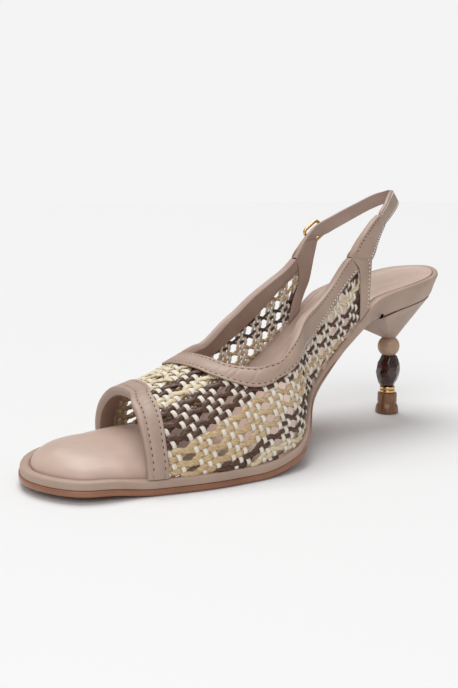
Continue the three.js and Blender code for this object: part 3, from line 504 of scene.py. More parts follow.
def padHeight(x):
    body = lerp(pad["seat"], pad["body"], smoothstep(x, sole["breastAt"], sole["length"] / 2))
    crown = lerp(pad["crown"], pad["toe"], smoothstep(x, pad["toeFrom"], pad["toeBy"]))
    return lerp(body, crown, smoothstep(x, atLength(pad["crownFrom"]), atLength(pad["crownBy"])))


def padLevel(share):  # share of the way from the insole's edge to its crown
    line = pad["line"] * math.exp(-((share - pad["lineAt"]) / pad["lineWidth"]) ** 2)  # pressed into the seat
    edge, crown = 1 - (1 - share) ** pad["edgeSharpness"], math.sin(share * math.pi / 2)
    rise = lerp(crown, edge, pad["edgeRise"])
    return (
        lambda x: insoleEdge(x) + pad["width"] * share,
        pad["pull"] * share ** 1.5,
        lambda x: randTop(x) + padHeight(x) * rise - line * towardSeat(np.asarray(x) - sole["breastAt"]),
    )


insoleStore = newStore()
addLayer(insoleStore, [
    (fromInsole(3), 0, under(sole["groove"] - 0.15)), (fromInsole(0.1), 0, under(sole["groove"] - 0.15)),
    (insoleEdge, 0, under(0.35)), *[padLevel(share) for share in padShares],
])
insolePiece = finished(pieceFrom(insoleStore, "insole_pad", [insoleLeather], 60), "insole_leather", "insole")

# Leather bindings, folded round the free edges of the weave
bindingSizes = {
    "turn": 1.2, "low": 0.94, "leather": 0.6, "deep": 1.64, "dip": 0.24, "puff": 0.05, "seamHalf": 0.045,
    "topline": 420, "back": 90, "band": 200,  # steps along each
}
toplineRows = [  # edge, edgeRound, weave, weaveRound, closed
    (0.3205, 0.703, 0.3005, 0.788, 0), (0.33, 0.7, 0.3326, 0.777, 0),
    (0.373, 0.706, 0.391, 0.783, 0), (0.422, 0.681, 0.4527, 0.763, 0),
    (0.468, 0.624, 0.5027, 0.674, 0), (0.5, 0.574, 0.5366, 0.615, 0),
    (0.545, 0.494, 0.583, 0.555, 0), (0.5755, 0.468, 0.6147, 0.528, 0),
    (0.5964, 0.429, 0.6295, 0.501, 0), (0.6116, 0.402, 0.6455, 0.458, 0),
    (0.636, 0.318, 0.6714, 0.349, 0), (0.648, 0.261, 0.6817, 0.283, 0),
    (0.6576, 0.192, 0.69, 0.21, 0), (0.6625, 0.054, 0.696, 0.06, 0),
    (0.662, -0.07, 0.6955, -0.08, 0), (0.657, -0.2, 0.691, -0.22, 0),
    (0.6406, -0.32, 0.675, -0.35, 0), (0.612, -0.39, 0.646, -0.455, 0),
    (0.589, -0.445, 0.617, -0.53, 0), (0.5705, -0.492, 0.5893, -0.595, 0),
    (0.5353, -0.55, 0.5536, -0.66, 0), (0.483, -0.618, 0.5, -0.73, 0),
    (0.4246, -0.661, 0.435, -0.768, 0), (0.377, -0.7, 0.385, -0.78, 0),
    (0.345, -0.727, 0.35, -0.786, 0), (0.3138, -0.736, 0.305, -0.795, 0),
]
innerBackRows = [  # edge, edgeRound, weave, weaveRound, closed
    (0.2715, 0.991, 0.298, 0.991, 0), (0.2715, 0.969, 0.298, 0.969, 0),
    (0.2695, 0.919, 0.297, 0.908, 0), (0.266, 0.851, 0.297, 0.851, 0),
    (0.2645, 0.83, 0.2985, 0.79, 0), (0.2625, 0.817, 0.3185, 0.703, 0.85),
    (0.2565, 0.813, 0.3013, 0.701, 0.85),
]
outerBackRows = [  # edge, edgeRound, weave, weaveRound, closed
    (0.295, -0.991, 0.324, -0.991, 0), (0.2924, -0.975, 0.321, -0.96, 0),
    (0.281, -0.935, 0.314, -0.909, 0), (0.269, -0.905, 0.2987, -0.851, 0),
    (0.259, -0.832, 0.3025, -0.797, 0), (0.2527, -0.79, 0.3118, -0.736, 0.85),
    (0.2505, -0.772, 0.288, -0.725, 0.85),
]
toeBandRows = [  # edge, edgeRound, weave, weaveRound, closed
    (0.8509, 0.991, 0.8187, 0.991, 0), (0.8487, 0.787, 0.816, 0.8, 0),
    (0.8465, 0.652, 0.8138, 0.674, 0), (0.8438, 0.545, 0.8089, 0.54, 0),
    (0.8398, 0.421, 0.802, 0.395, 0), (0.8338, 0.292, 0.795, 0.245, 0),
    (0.8267, 0.146, 0.7875, 0.114, 0), (0.8095, 0, 0.772, -0.014, 0),
    (0.799, -0.2, 0.7605, -0.2, 0), (0.791, -0.4, 0.7535, -0.4, 0),
    (0.7866, -0.6, 0.75, -0.6, 0), (0.781, -0.8, 0.747, -0.8, 0),
    (0.775, -0.991, 0.744, -0.991, 0),
]


def bindingStations(rows, count):
    t = np.linspace(0, 1, count + 1)
    edge, weaveEdge = (
        spline([(float(atLength(row[k])), row[k + 1] * last["chart"]) for row in rows], False, t)
        for k in (0, 2)
    )
    closed = np.interp(t * (len(rows) - 1), np.arange(len(rows)), [row[4] for row in rows])
    width = np.linalg.norm(onSkin(edge, np.zeros(count + 1)) - onSkin(weaveEdge, np.zeros(count + 1)), axis=1)
    return edge, weaveEdge, closed, np.maximum(bindingSizes["turn"] / width, closed)


creases = {  # place along the binding, share of its width, depth, half length along it, half width
    "topline_binding": [
        (0.36, 0.5, 0.22, 0.004, 0.3), (0.405, 0.6, 0.28, 0.005, 0.25), (0.43, 0.45, 0.2, 0.004, 0.3),
        (0.47, 0.55, 0.24, 0.005, 0.3), (0.625, 0.5, 0.24, 0.005, 0.3), (0.66, 0.45, 0.2, 0.004, 0.3),
    ],
    "toe_band": [
        (0.42, 0.55, 0.24, 0.008, 0.3), (0.47, 0.5, 0.3, 0.008, 0.25), (0.53, 0.55, 0.26, 0.009, 0.3),
        (0.62, 0.5, 0.2, 0.008, 0.3),
    ],
    "inner_back_binding": [(0.55, 0.5, 0.2, 0.03, 0.3)],
    "outer_back_binding": [(0.55, 0.5, 0.2, 0.03, 0.3)],
}


def bindingPiece(name, rows, count, seams, slotNode):
    b = bindingSizes
    edge, weaveEdge, _, fold = bindingStations(rows, count)
    high, deep, inside = b["low"] + b["leather"], b["deep"] + b["leather"], b["deep"]
    # the section: share of the width from the free edge, height over the skin
    outer = [(1, b["low"]), (1, high - 0.22), (0.985, high - 0.05), (0.96, high)]
    for seam in sorted(seams, reverse=True):
        beside = high + 0.3 * b["puff"]
        outer += [(seam + b["seamHalf"], beside), (seam, high - b["dip"]), (seam - b["seamHalf"], beside)]
    outer += [(0.5, high + b["puff"])] if len(seams) > 1 else []
    outer.sort(key=lambda place: -place[0])
    edgeRound = [
        (0.07, high), (0.025, high - 0.12), (0, high - 0.5), (0, 0), (0, 0.5 - deep), (0.025, 0.12 - deep),
        (0.07, -deep),
    ]
    inner = [(0.3, -deep), (0.6, -deep), (0.95, -deep), (1, 0.2 - deep), (1, -inside)]
    fixed = outer + edgeRound + inner
    leather, backed = len(outer) + 3, len(edgeRound) - 3 + len(inner) + 4  # faces in leather, then in lining
    shares = np.array([share for share, _ in fixed])[None, :].repeat(count + 1, 0)
    middle = ((1 + fold) / 2)[:, None]
    folded = np.concatenate([middle, fold[:, None], fold[:, None], middle], 1)
    shares = np.concatenate([shares, folded], 1)
    heights = np.array([height for _, height in fixed] + [-inside, -inside, b["low"], b["low"]])
    flat = edge[:, None, :] + (weaveEdge - edge)[:, None, :] * shares[..., None]
    heights = np.broadcast_to(heights, shares.shape).copy()
    outside = np.arange(shares.shape[1])[None, :] < len(outer)
    for place, middleShare, depth, length, width in creases[slotNode]:
        along = np.exp(-((np.linspace(0, 1, count + 1)[:, None] - place) / length) ** 2)
        heights -= outside * depth * along * np.exp(-((shares - middleShare) / width) ** 2)
    store = newStore()
    addSweep(store, onSkin(flat, heights), slots=[0] * leather + [1] * backed)
    return finished(pieceFrom(store, name, [taupe, lining], 40), "taupe_leather", slotNode)


topSeams, bandSeams, backSeams = (0.15, 0.86), (0.28, 0.84), (0.2,)
bindingPiece("topline_leather", toplineRows, bindingSizes["topline"], topSeams, "topline_binding")
bindingPiece("toe_band_leather", toeBandRows, bindingSizes["band"], bandSeams, "toe_band")
bindingPiece("inner_back_leather", innerBackRows, bindingSizes["back"], backSeams, "inner_back_binding")
bindingPiece("outer_back_leather", outerBackRows, bindingSizes["back"], backSeams, "outer_back_binding")

# Weave: twined pairs of coloured strands along the shoe, flat white cords in threes across it
weave = {
    "columnPitch": 12.2, "columnClosing": 0.2, "columnLean": 1, "outerShift": 4.6, "firstColumn": 0.8103,
    "rows": 11, "columns": (-2, 13), "spread": 0.23, "part": 0.25, "relief": 0.5, "twine": 0.5,
    "middle": -0.3,
    "cordWidth": 1.75, "cordShare": 0.165, "cordThick": 0.85, "strandShare": 0.35, "strandThick": 1.05,
    "strandWidths": (1.25, 2.3), "underLeaf": 0.2, "strandStep": 0.05, "cordStep": 0.09, "leastRun": 6,
}
rowRows = [  # along, start, step
    (0.33, 0.6533, 0.05), (0.38, 0.5683, 0.0567), (0.42, 0.5217, 0.0567),
    (0.46, 0.4467, 0.06), (0.55, 0.2567, 0.0717), (0.634, 0.075, 0.085),
    (0.68, 0.0083, 0.1017), (0.732, 0, 0.1117), (0.786, 0, 0.125),
    (0.87, 0, 0.1433),
]


def latticePoint(c, r):  # place on the flat chart of a lattice column and row
    w = weave
    outward = np.clip((2 - r) / 4, 0, 1)  # 0 on the inner side, 1 on the outer side
    x = atLength(w["firstColumn"]) - w["columnPitch"] * c + w["columnClosing"] * c ** 2
    x = x - w["columnLean"] * np.sqrt(r * r + 1) - w["outerShift"] * outward
    share = np.clip(shareAt(x), rowRows[0][0], 1)
    start = column(rowRows, 1, share) * np.clip(r, -1, 1)
    return np.stack([x, (start + column(rowRows, 2, share) * r) * last["chart"]], -1)


def wallBorder():
    def part(rows, count):
        edge, weaveEdge, closed, fold = bindingStations(rows, count)
        keep = closed < 0.01
        return (edge + (weaveEdge - edge) * (fold + weave["underLeaf"])[:, None])[keep]
    line = np.vstack([
        part(toeBandRows, 60), part(outerBackRows, 30), part(toplineRows, 120)[::-1],
        part(innerBackRows, 30)[::-1],
    ])
    line[:, 1] = np.clip(line[:, 1], -0.992 * last["chart"], 0.992 * last["chart"])
    return line


border = wallBorder()


def insideBorder(flat):
    inside = np.zeros(len(flat), bool)
    for a, b in zip(border, np.roll(border, -1, axis=0)):
        crosses = (a[1] > flat[:, 1]) != (b[1] > flat[:, 1])
        if crosses.any():
            at = (b[0] - a[0]) * (flat[:, 1] - a[1]) / (b[1] - a[1] + 1e-12) + a[0]
            inside ^= crosses & (flat[:, 0] < at)
    return inside


def eased(place, keys, values):  # smooth steps between given keys
    keys, values = np.array(keys, float), np.array(values, float)
    cell = np.clip(np.searchsorted(keys, place, side="right") - 1, 0, len(keys) - 2)
    t = np.clip((place - keys[cell]) / (keys[cell + 1] - keys[cell]), 0, 1)
    t = t * t * (3 - 2 * t)
    return values[cell] * (1 - t) + values[cell + 1] * t


def runsOf(mask):  # unbroken stretches long enough to lay
    runs, start = [], None
    for i, on in enumerate(list(mask) + [False]):
        if on and start is None:
            start = i
        if not on and start is not None:
            if i - start >= weave["leastRun"]:
                runs.append((start, i))
            start = None
    return runs


def addStrand(store, flat, heights, width, thick, sides, lobes=0.0, flatness=2.0, twistPitch=6.0):
    middle = onSkin(flat, heights)
    normal = onSkin(flat, heights + 0.5) - middle
    normal /= np.linalg.norm(normal, axis=1)[:, None]
    along = np.gradient(middle, axis=0)
    along /= np.linalg.norm(along, axis=1)[:, None]
    side = np.cross(along, normal)
    side /= np.linalg.norm(side, axis=1)[:, None]
    normal = np.cross(side, along)
    gone = travelled(middle)
    angle = 2 * math.pi * np.arange(sides) / sides
    cosine, sine = np.cos(angle), np.sin(angle)
    swell = 1 + lobes * np.cos(3 * (angle[None, :] - 2 * math.pi * gone[:, None] / twistPitch))
    across = np.sign(cosine) * np.abs(cosine) ** (2 / flatness) * swell * width[:, None] / 2
    out = np.sign(sine) * np.abs(sine) ** (2 / flatness) * swell * thick / 2
    rings = middle[:, None, :] + side[:, None, :] * across[..., None] + normal[:, None, :] * out[..., None]
    addSweep(store, rings, lengths=gone + rng.uniform(0, 50))


def toneOf(row, c):  # tone of a row's strands at a column; rows count up from the crown on the inner side
    if row in (4, 5):
        return "cream" if row == 4 and c > 7 else "brown"
    if row == 3:
        return "brown"
    if row == 6:
        return "brown" if c > 5.4 else "straw"
    if row == 7:
        return "straw"
    if row == 8:
        return "brown" if 3.4 < c < 7.4 else "straw"
    if row in (9, 11):
        return "brown" if c < 7 else "straw"
    if row == 1:
        return "brown"
    if row in (-5, -6):
        return "brown" if c > 1.4 else "straw"
    if row < -2:
        return "straw" if c > 1.4 or row < -4 else "cream"
    return "cream"


strandStores = {tone: newStore() for tone in ("cream", "straw", "brown")}
spread, relief, twine = weave["spread"], weave["relief"], weave["twine"]
columnsAt = np.arange(*weave["columns"], weave["strandStep"])
group = np.floor(columnsAt)  # the nearest white group stands at group + 0.5
away = columnsAt - group - 0.5
parity = np.where(group % 2 == 0, 1.0, -1.0)
for row in range(-weave["rows"], weave["rows"] + 1):
    flip = 1.0 if row % 2 == 0 else -1.0
    for strand in (1.0, -1.0):  # two strands that part round each white group and cross between the groups
        sign = parity * strand * flip
        offset = -weave["part"] * sign * eased(np.abs(away), (0, spread, 0.5), (1, 0.96, 0))
        lift = eased(away, (-0.5, -spread, 0, spread, 0.5), (-twine, relief, -relief, relief, twine))
        lift = np.where(away < -spread, eased(away, (-0.5, -spread), (-twine, relief)), lift) * sign
        flat = latticePoint(columnsAt, row + offset)
        pitch = column(rowRows, 2, np.clip(shareAt(flat[:, 0]), rowRows[0][0], 1)) * last["chart"]
        width = np.clip(weave["strandShare"] * pitch, *weave["strandWidths"])
        tones = np.array([toneOf(row, c) for c in columnsAt])
        visible = insideBorder(flat)
        for tone, store in strandStores.items():
            for start, stop in runsOf(visible & (tones == tone)):
                run = slice(start, stop)
                heights = weave["middle"] + lift[run]
                addStrand(store, flat[run], heights, width[run], weave["strandThick"], sides=10, lobes=0.1)

cordStore = newStore()
rowsAt = np.arange(-weave["rows"] - 0.5, weave["rows"] + 0.5, weave["cordStep"])
for number in range(*weave["columns"]):
    pitch = weave["columnPitch"] - weave["columnClosing"] * (2 * number + 1)
    cordWidth = min(weave["cordWidth"], weave["cordShare"] * pitch)
    for k in (-1, 0, 1):  # the middle cord of three passes over what its neighbours pass under
        over = 1.0 if k == 0 else -1.0
        flat = latticePoint(number + 0.5 + k * spread + 0 * rowsAt, rowsAt)
        lift = relief * over * np.cos(2 * math.pi * (rowsAt + weave["part"]))
        for start, stop in runsOf(insideBorder(flat)):
            run = slice(start, stop)
            heights, width = weave["middle"] + lift[run], np.full(stop - start, cordWidth)
            addStrand(cordStore, flat[run], heights, width, weave["cordThick"], sides=12, flatness=3.0)
print("weave laid")

finished(pieceFrom(cordStore, "weave_white_cords", [whiteCord], 60), "woven_cord", "upper")
for tone, material in (("cream", creamStrand), ("straw", strawStrand), ("brown", brownStrand)):
    finished(pieceFrom(strandStores[tone], "weave_" + tone + "_strands", [material], 60), "woven_cord")

# Slingback strap, inner tab and buckle
strapSizes = {
    "quarter": 3.87, "tab": 2.2, "strap": 1.6,  # thicknesses
    "lean": 3.4, "rise": 28.93, "steps": 220, "seam": 0.13, "dip": 0.18,
    "buckleLength": 10.5, "buckleWidth": 9, "wire": 1.3, "buckleAt": 0.8617, "buckleRise": 0.3087,
    "slope": 0.8, "stand": 1.6, "corner": 1.9, "pinGap": 0.3,
}
strapPlan = [  # along, across
    (0.317, 0.1725), (0.2813, 0.175), (0.2455, 0.16), (0.2009, 0.1225),
    (0.1607, 0.0775), (0.1295, 0.0325), (0.108, -0.0212), (0.0982, -0.075),
    (0.104, -0.1288), (0.1259, -0.1725), (0.1741, -0.2275), (0.2277, -0.2725),
    (0.2723, -0.3025), (0.317, -0.315),
]
tabRows = [  # lowAt, low, highAt, high, lowIn, highIn
    (0.1228, 0.0235, 0.0334, 0.1652, -0.318, 0.153), (0.1572, 0.1704, 0.0732, 0.3467, -0.08, 0.03),
    (0.1969, 0.3294, 0.1283, 0.523, 0, 0), (0.2294, 0.44, 0.1716, 0.6128, 0, 0),
]
strapRows = [  # lowAt, low, highAt, high, lowIn, highIn
    (0.2317, 0.4509, 0.1874, 0.5833, 0, 0), (0.2454, 0.4741, 0.1969, 0.6611, 0, 0),
    (0.2845, 0.5437, 0.2457, 0.779, 0, 0.09), (0.3505, 0.6578, 0.3026, 0.9031, 0, 0.37),
    (0.4065, 0.758, 0.3703, 0.9794, 0, 0.76), (0.4787, 0.8134, 0.4607, 1.0, 0, 1),
    (0.5501, 0.7651, 0.5239, 0.9933, 0, 0.93), (0.6142, 0.6682, 0.5898, 0.9446, 0, 0.7),
    (0.691, 0.5231, 0.6811, 0.7823, 0, 0.3), (0.7732, 0.3675, 0.7858, 0.5852, 0, 0),
    (0.83, 0.2632, 0.8798, 0.4019, -0.1, 0.08), (0.8662, 0.2395, 0.9403, 0.1704, -0.25, 0.235),
]
strapDense = spline(
    [(float(atLength(a)), b * sole["ballWidth"], 0) for a, b in strapPlan], False, np.linspace(0, 1, 3001),
)[:, :2]
strapGone = travelled(strapDense)
strapLength = strapGone[-1]
quarterLast = innerBackRows[-1]
quarterEnd = onSkin(  # height of the inner quarter's end, from which the strap's rise is counted
    np.array([float(atLength(quarterLast[0])), quarterLast[1] * last["chart"]]),
    bindingSizes["low"] + bindingSizes["leather"],
)[2]


def strapPoint(place, height, inward):
    at = np.clip(np.asarray(place, float), 0, 1) * strapLength
    places = [np.clip(at + step, 0, strapLength) for step in (0, 0.5, -0.5)]
    point, ahead, behind = (
        np.stack([np.interp(gone, strapGone, strapDense[:, k]) for k in range(2)], -1) for gone in places
    )
    way = (ahead - behind) / np.linalg.norm(ahead - behind, axis=-1)[..., None]
    moved = point + np.stack([-way[..., 1], way[..., 0]], -1) * np.asarray(inward)[..., None]
    return np.concatenate([moved, np.broadcast_to(height, moved.shape[:-1])[..., None]], -1)


def strapEdges(rows, places):  # each edge: place along the line, height, depth
    z = strapSizes
    return tuple(
        spline([
            (row[k] * strapLength, quarterEnd + row[k + 1] * z["rise"], row[n] * z["lean"]) for row in rows
        ], False, places)
        for k, n in ((0, 4), (2, 5))
    )


def strapFace(low, high, share, inward):
    at, height, depth = (lerp(low[:, None, k], high[:, None, k], share) for k in range(3))
    return strapPoint(at / strapLength, height, depth + inward)


def strapPiece(name, rows, thick, steps, *nodes):  # thick is the thickness at the start and at the end
    z = strapSizes
    low, high = strapEdges(rows, np.linspace(0, 1, steps + 1))
    half = np.linspace(*thick, steps + 1)[:, None] / 2
    seam, dip = z["seam"], z["dip"]
    section = [  # share of the width, side (outside -1), added depth
        (0.03, -1, 0), (seam - 0.05, -1, 0), (seam, -1, dip), (seam + 0.05, -1, 0), (0.5, -1, -0.08),
        (1 - seam - 0.05, -1, 0), (1 - seam, -1, dip), (1 - seam + 0.05, -1, 0), (0.97, -1, 0),
        (0.995, -1, 0.2), (1, -1, 0.5), (1, 1, -0.5), (0.995, 1, -0.2), (0.97, 1, 0), (0.5, 1, 0),
        (0.03, 1, 0), (0.005, 1, -0.2), (0, 1, -0.5), (0, -1, 0.5), (0.005, -1, 0.2),
    ]
    share, side, depth = (np.array([row[k] for row in section], float)[None, :] for k in range(3))
    store = newStore()
    faces = strapFace(low, high, share.repeat(steps + 1, 0), side * half + depth)
    leather = 11  # faces of the section in leather, the others in lining
    addSweep(store, faces, slots=[0] * leather + [1] * (len(section) - leather))
    return finished(pieceFrom(store, name, [taupe, lining], 40), "taupe_leather", *nodes)


tabThick = (strapSizes["quarter"], strapSizes["tab"])
strapThick = (strapSizes["strap"], strapSizes["strap"])
tabLook = [(0.1066, -0.061, 0.0018, -0.013, -0.247, 0.065)] + tabRows  # it also covers the bindings' ends
strapPiece("inner_tab_leather", tabLook, tabThick, 70, "inner_strap_tab")
outerTab = [  # covers the end of the outer quarter up to the buckle
    (0.8707, 0.1203, 0.9877, -0.0957, -0.276, 0.241), (0.8662, 0.2395, 0.9403, 0.1704, -0.25, 0.235),
    (0.83, 0.2706, 0.8798, 0.402, -0.1, 0.08),
]
strapPiece("outer_tab_leather", outerTab, (strapSizes["quarter"], 2.0), 40)
strapPiece("slingback_leather", strapRows, strapThick, strapSizes["steps"], "slingback_strap")


def mottledMaterial(name, roughness, colour, scale, bump=0.0, metallic=0.0, coat=0.0, stretch=None, **noise):
    material, tree, shader = newMaterial(name, roughness, metallic=metallic, coat=coat)
    place = tree.nodes.new("ShaderNodeTexCoord").outputs["Object"]
    if stretch:
        mapping = addNode(tree, "ShaderNodeMapping")
        mapping.inputs["Scale"].default_value = stretch
        tree.links.new(place, mapping.inputs["Vector"])
        place = mapping.outputs[0]
    mottle = addNode(tree, "ShaderNodeTexNoise", Scale=scale, **noise)
    tree.links.new(place, mottle.inputs["Vector"])
    if isinstance(colour, list):  # places and colours of a ramp, or else one colour
        tree.links.new(colourRamp(tree, mottle.outputs[0], colour), shader.inputs["Base Color"])
    else:
        shader.inputs["Base Color"].default_value = (*colour, 1)
    if bump:
        bumpFrom(tree, shader, [(mottle.outputs[0], 1.0)], bump, 0.0001)
    return material


gold = mottledMaterial("light gold", 0.2, (0.7, 0.47, 0.22), 900.0, bump=0.08, metallic=1.0, Detail=3.0)


def buckleBasis():
    z = strapSizes
    at = z["buckleAt"]
    before = strapPoint(at - 1 / strapLength, 0.0, 0.0)
    level = before - strapPoint(at, 0.0, 0.0)
    level /= np.linalg.norm(level)
    along = level + np.array([0, 0, z["slope"]])
    along /= np.linalg.norm(along)
    outward = np.cross([0, 0, 1], level)
    outward /= np.linalg.norm(outward)
    across = np.cross(outward, along)
    height = quarterEnd + z["buckleRise"] * z["rise"]
    place = strapPoint(at, height, -(z["tab"] / 2 + z["stand"] + z["wire"] / 2))
    return place, along, across / np.linalg.norm(across), outward


def tube(path, radius, sides, closed):
    path = np.asarray(path, float)
    ahead = np.roll(path, -1, 0) - np.roll(path, 1, 0) if closed else np.gradient(path, axis=0)
    ahead /= np.linalg.norm(ahead, axis=1)[:, None]
    outward = buckleBasis()[3]
    side = np.cross(ahead, outward)
    side /= np.linalg.norm(side, axis=1)[:, None]
    angle = 2 * math.pi * np.arange(sides) / sides
    radius = np.broadcast_to(radius, len(path))[:, None, None]
    return path[:, None, :] + radius * (
        side[:, None, :] * np.cos(angle)[None, :, None] + outward * np.sin(angle)[None, :, None]
    )


place, along, across, outward = buckleBasis()
wire = strapSizes["wire"]
halfLength, halfWidth = (strapSizes["buckleLength"] - wire) / 2, (strapSizes["buckleWidth"] - wire) / 2
corner = strapSizes["corner"]
path = []
for sx, sy, turn in ((1, 1, 0), (-1, 1, 90), (-1, -1, 180), (1, -1, 270)):
    for step in range(9):
        angle = math.radians(turn + 90 * step / 8)
        a = sx * (halfLength - corner) + corner * math.cos(angle)
        b = sy * (halfWidth - corner) + corner * math.sin(angle)
        path.append(place + a * along + b * across)
buckleStore = newStore()
addSweep(buckleStore, tube(path, 0.6 * wire, 16, True), closed=True)
finished(pieceFrom(buckleStore, "buckle_loop", [gold], 60), "gold_metal", "buckle_frame")
pinStore = newStore()
reach = halfLength - wire / 2 - strapSizes["pinGap"]
pinPath = [place + t * reach * along + 0.5 * (1 - t * t) * outward for t in np.linspace(-1, 1, 21)]
pinRadius = wire / 2 * np.sqrt(np.clip(1 - np.linspace(-1, 1, 21) ** 8, 0.05, 1))
addSweep(pinStore, tube(pinPath, pinRadius, 14, False))
finished(pieceFrom(pinStore, "buckle_tongue", [gold], 60), "gold_metal", "buckle_pin")

# Heel: turned pieces and beads on one axis, and the cone under the seat
heel = {
    "tipRadius": 5.66, "tipWaist": 4.7, "tipHeight": 10,
    "ringRadius": 3.7, "ringHeight": 1.6, "ringEdge": 0.45,
    "beadRadius": 5.95, "beadNeck": 3.2, "beadHeight": 15.5, "beadSides": 9, "twist": 0.35,
    "tilt": 0.05, "tiltToward": 2.5, "cutEdge": 0.35,
    "ballRadius": 5.3, "jointRadius": 3.3, "hollow": 5, "rimGap": 0.1, "rimFrom": 6, "rimTo": 18,
    "seatGap": 0.6, "stackGap": 0.04, "sides": 72, "axis": 0.01,
}
beadRows = [  # rise, width
    (0, 0.5), (0.05, 0.62), (0.16, 0.78), (0.33, 0.94), (0.5, 1),
    (0.64, 0.97), (0.8, 0.86), (0.93, 0.7), (1, 0.55),
]
lowerRing = heel["tipHeight"] + heel["stackGap"]
upperRing = lowerRing + heel["ringHeight"] + heel["stackGap"]
beadBase = upperRing + heel["ringHeight"] + heel["stackGap"]
ballBase = beadBase + heel["beadHeight"] + heel["stackGap"]
ballHeight = 2 * math.sqrt(heel["ballRadius"] ** 2 - heel["beadNeck"] ** 2)
blockBase = ballBase + ballHeight + heel["stackGap"]

wood = mottledMaterial(
    "turned brown wood", 0.35, [(0.3, (0.11, 0.04, 0.015)), (0.7, (0.29, 0.13, 0.055))], 1.0,
    bump=0.2, coat=0.35, stretch=(900, 900, 130), Detail=6.0, Roughness=0.6, Distortion=0.6,
)
darkBead = mottledMaterial(
    "dark bead", 0.12, [(0.35, (0.022, 0.007, 0.005)), (0.75, (0.075, 0.024, 0.016))], 240.0,
    coat=0.5, Detail=4.0,
)
beigeBead = mottledMaterial(
    "beige bead", 0.4, [(0.3, (0.38, 0.24, 0.155)), (0.72, (0.52, 0.36, 0.25))], 160.0,
    bump=0.06, coat=0.15, Detail=5.0, Distortion=0.5,
)


def turned(name, profile, material, slotName, node):
    angle = 2 * math.pi * np.arange(heel["sides"]) / heel["sides"]
    rings = [np.stack([r * np.cos(angle), r * np.sin(angle), 0 * angle + z], 1) for r, z in profile]
    store = newStore()
    addSweep(store, rings, lengths=np.array([z for _, z in profile], float))
    return finished(pieceFrom(store, name, [material], 32), slotName, node)


def rounded(radius, low, high, edge):  # a turned profile with round rims
    arc = [math.radians(a) for a in (0, 22, 45, 68, 90)]
    bottom = [(radius - edge + edge * math.sin(a), low + edge - edge * math.cos(a)) for a in arc]
    top = [(radius - edge + edge * math.cos(a), high - edge + edge * math.sin(a)) for a in arc]
    return [(heel["axis"], low)] + bottom + top + [(heel["axis"], high)]


foot, neck, tipTop = heel["tipRadius"], heel["tipWaist"], heel["tipHeight"]
groove = 0.82 * foot
tipRows = [  # share of the foot's radius, share of the height
    (1, 0.11), (0.985, 0.2), (0.95, 0.3), (0.9, 0.38), (0.86, 0.43),
]
tipProfile = [(heel["axis"], 0), (foot - 0.6, 0), (foot - 0.2, 0.15), (foot, 0.55)]
tipProfile += [(width * foot, rise * tipTop) for width, rise in tipRows]
tipProfile += [(groove, 0.47 * tipTop), (0.985 * groove, 0.5 * tipTop), (groove, 0.53 * tipTop)]
tipProfile += [(neck, 0.57 * tipTop), (1.01 * neck, 0.62 * tipTop), (neck, tipTop - 0.45)]
tipProfile += [(neck - 0.12, tipTop - 0.12), (neck - 0.45, tipTop), (heel["axis"], tipTop)]
turned("wooden_tip", tipProfile, wood, "brown_wood", "heel_tip")
for name, node, base in (
    ("gold_ring_low", "lower_ring", lowerRing), ("gold_ring_high", "upper_ring", upperRing),
):
    ringProfile = rounded(heel["ringRadius"], base, base + heel["ringHeight"], heel["ringEdge"])
    turned(name, ringProfile, gold, "gold_metal", node)
half = math.acos(heel["beadNeck"] / heel["ballRadius"])
ballProfile = [(heel["axis"], ballBase)] + [
    (heel["ballRadius"] * math.cos(a), ballBase + ballHeight / 2 + heel["ballRadius"] * math.sin(a))
    for a in np.linspace(-half, half, 33)
] + [(heel["axis"], ballBase + ballHeight)]
turned("beige_ball", ballProfile, beigeBead, "beige_bead", "heel_ball")

beadStore = newStore()
beadRings = []
for level, (rise, width) in enumerate(beadRows):
    angle = 2 * math.pi * (np.arange(heel["beadSides"]) + heel["twist"] * (level % 2)) / heel["beadSides"]
    cut = 0 < level < len(beadRows) - 1
    tilt = cut * heel["tilt"] * heel["beadHeight"] * np.cos(angle - heel["tiltToward"])
    radius = heel["beadRadius"] * width
    beadRings.append(np.stack([
        radius * np.cos(angle), radius * np.sin(angle), beadBase + rise * heel["beadHeight"] + tilt,
    ], 1))
addSweep(beadStore, beadRings)
bead = pieceFrom(beadStore, "dark_cut_bead", [darkBead], 8)
beadWork = bmesh.new()
beadWork.from_mesh(bead.data)
bmesh.ops.bevel(
    beadWork, geom=beadWork.edges, offset=heel["cutEdge"] * 0.001, segments=2, profile=0.6, affect="EDGES",
)
bmesh.ops.recalc_face_normals(beadWork, faces=beadWork.faces)
beadWork.to_mesh(bead.data)
beadWork.free()
bead.data.polygons.foreach_set("use_smooth", [True] * len(bead.data.polygons))
bead.data.set_sharp_from_angle(angle=math.radians(50))
finished(bead, "dark_bead", "heel_bead")

blockTop = outlineRing(sole["randStep"] + sole["seatUndercut"] + 0.4, 480)


def blockReach(away):  # distance from the heel axis to the block's rim, cut back by the curved breast
    a, b = blockTop, np.roll(blockTop, -1, axis=0)
    side = b - a
    denominator = away[0] * side[:, 1] - away[1] * side[:, 0]
    distance = (a[:, 0] * side[:, 1] - a[:, 1] * side[:, 0]) / denominator
    share = (a[:, 0] * away[1] - a[:, 1] * away[0]) / denominator
    best = distance[(share >= 0) & (share <= 1) & (distance > 0)].min()
    breast = math.inf
    for _ in range(8):
        if away[0] > 0:
            aside = min(breast, best) * away[1]
            hollow = heel["hollow"] * max(0, 1 - (aside / (sole["ballWidth"] / 4)) ** 2)
            breast = (sole["breastAt"] - hollow) / away[0]
    return min(best, breast)


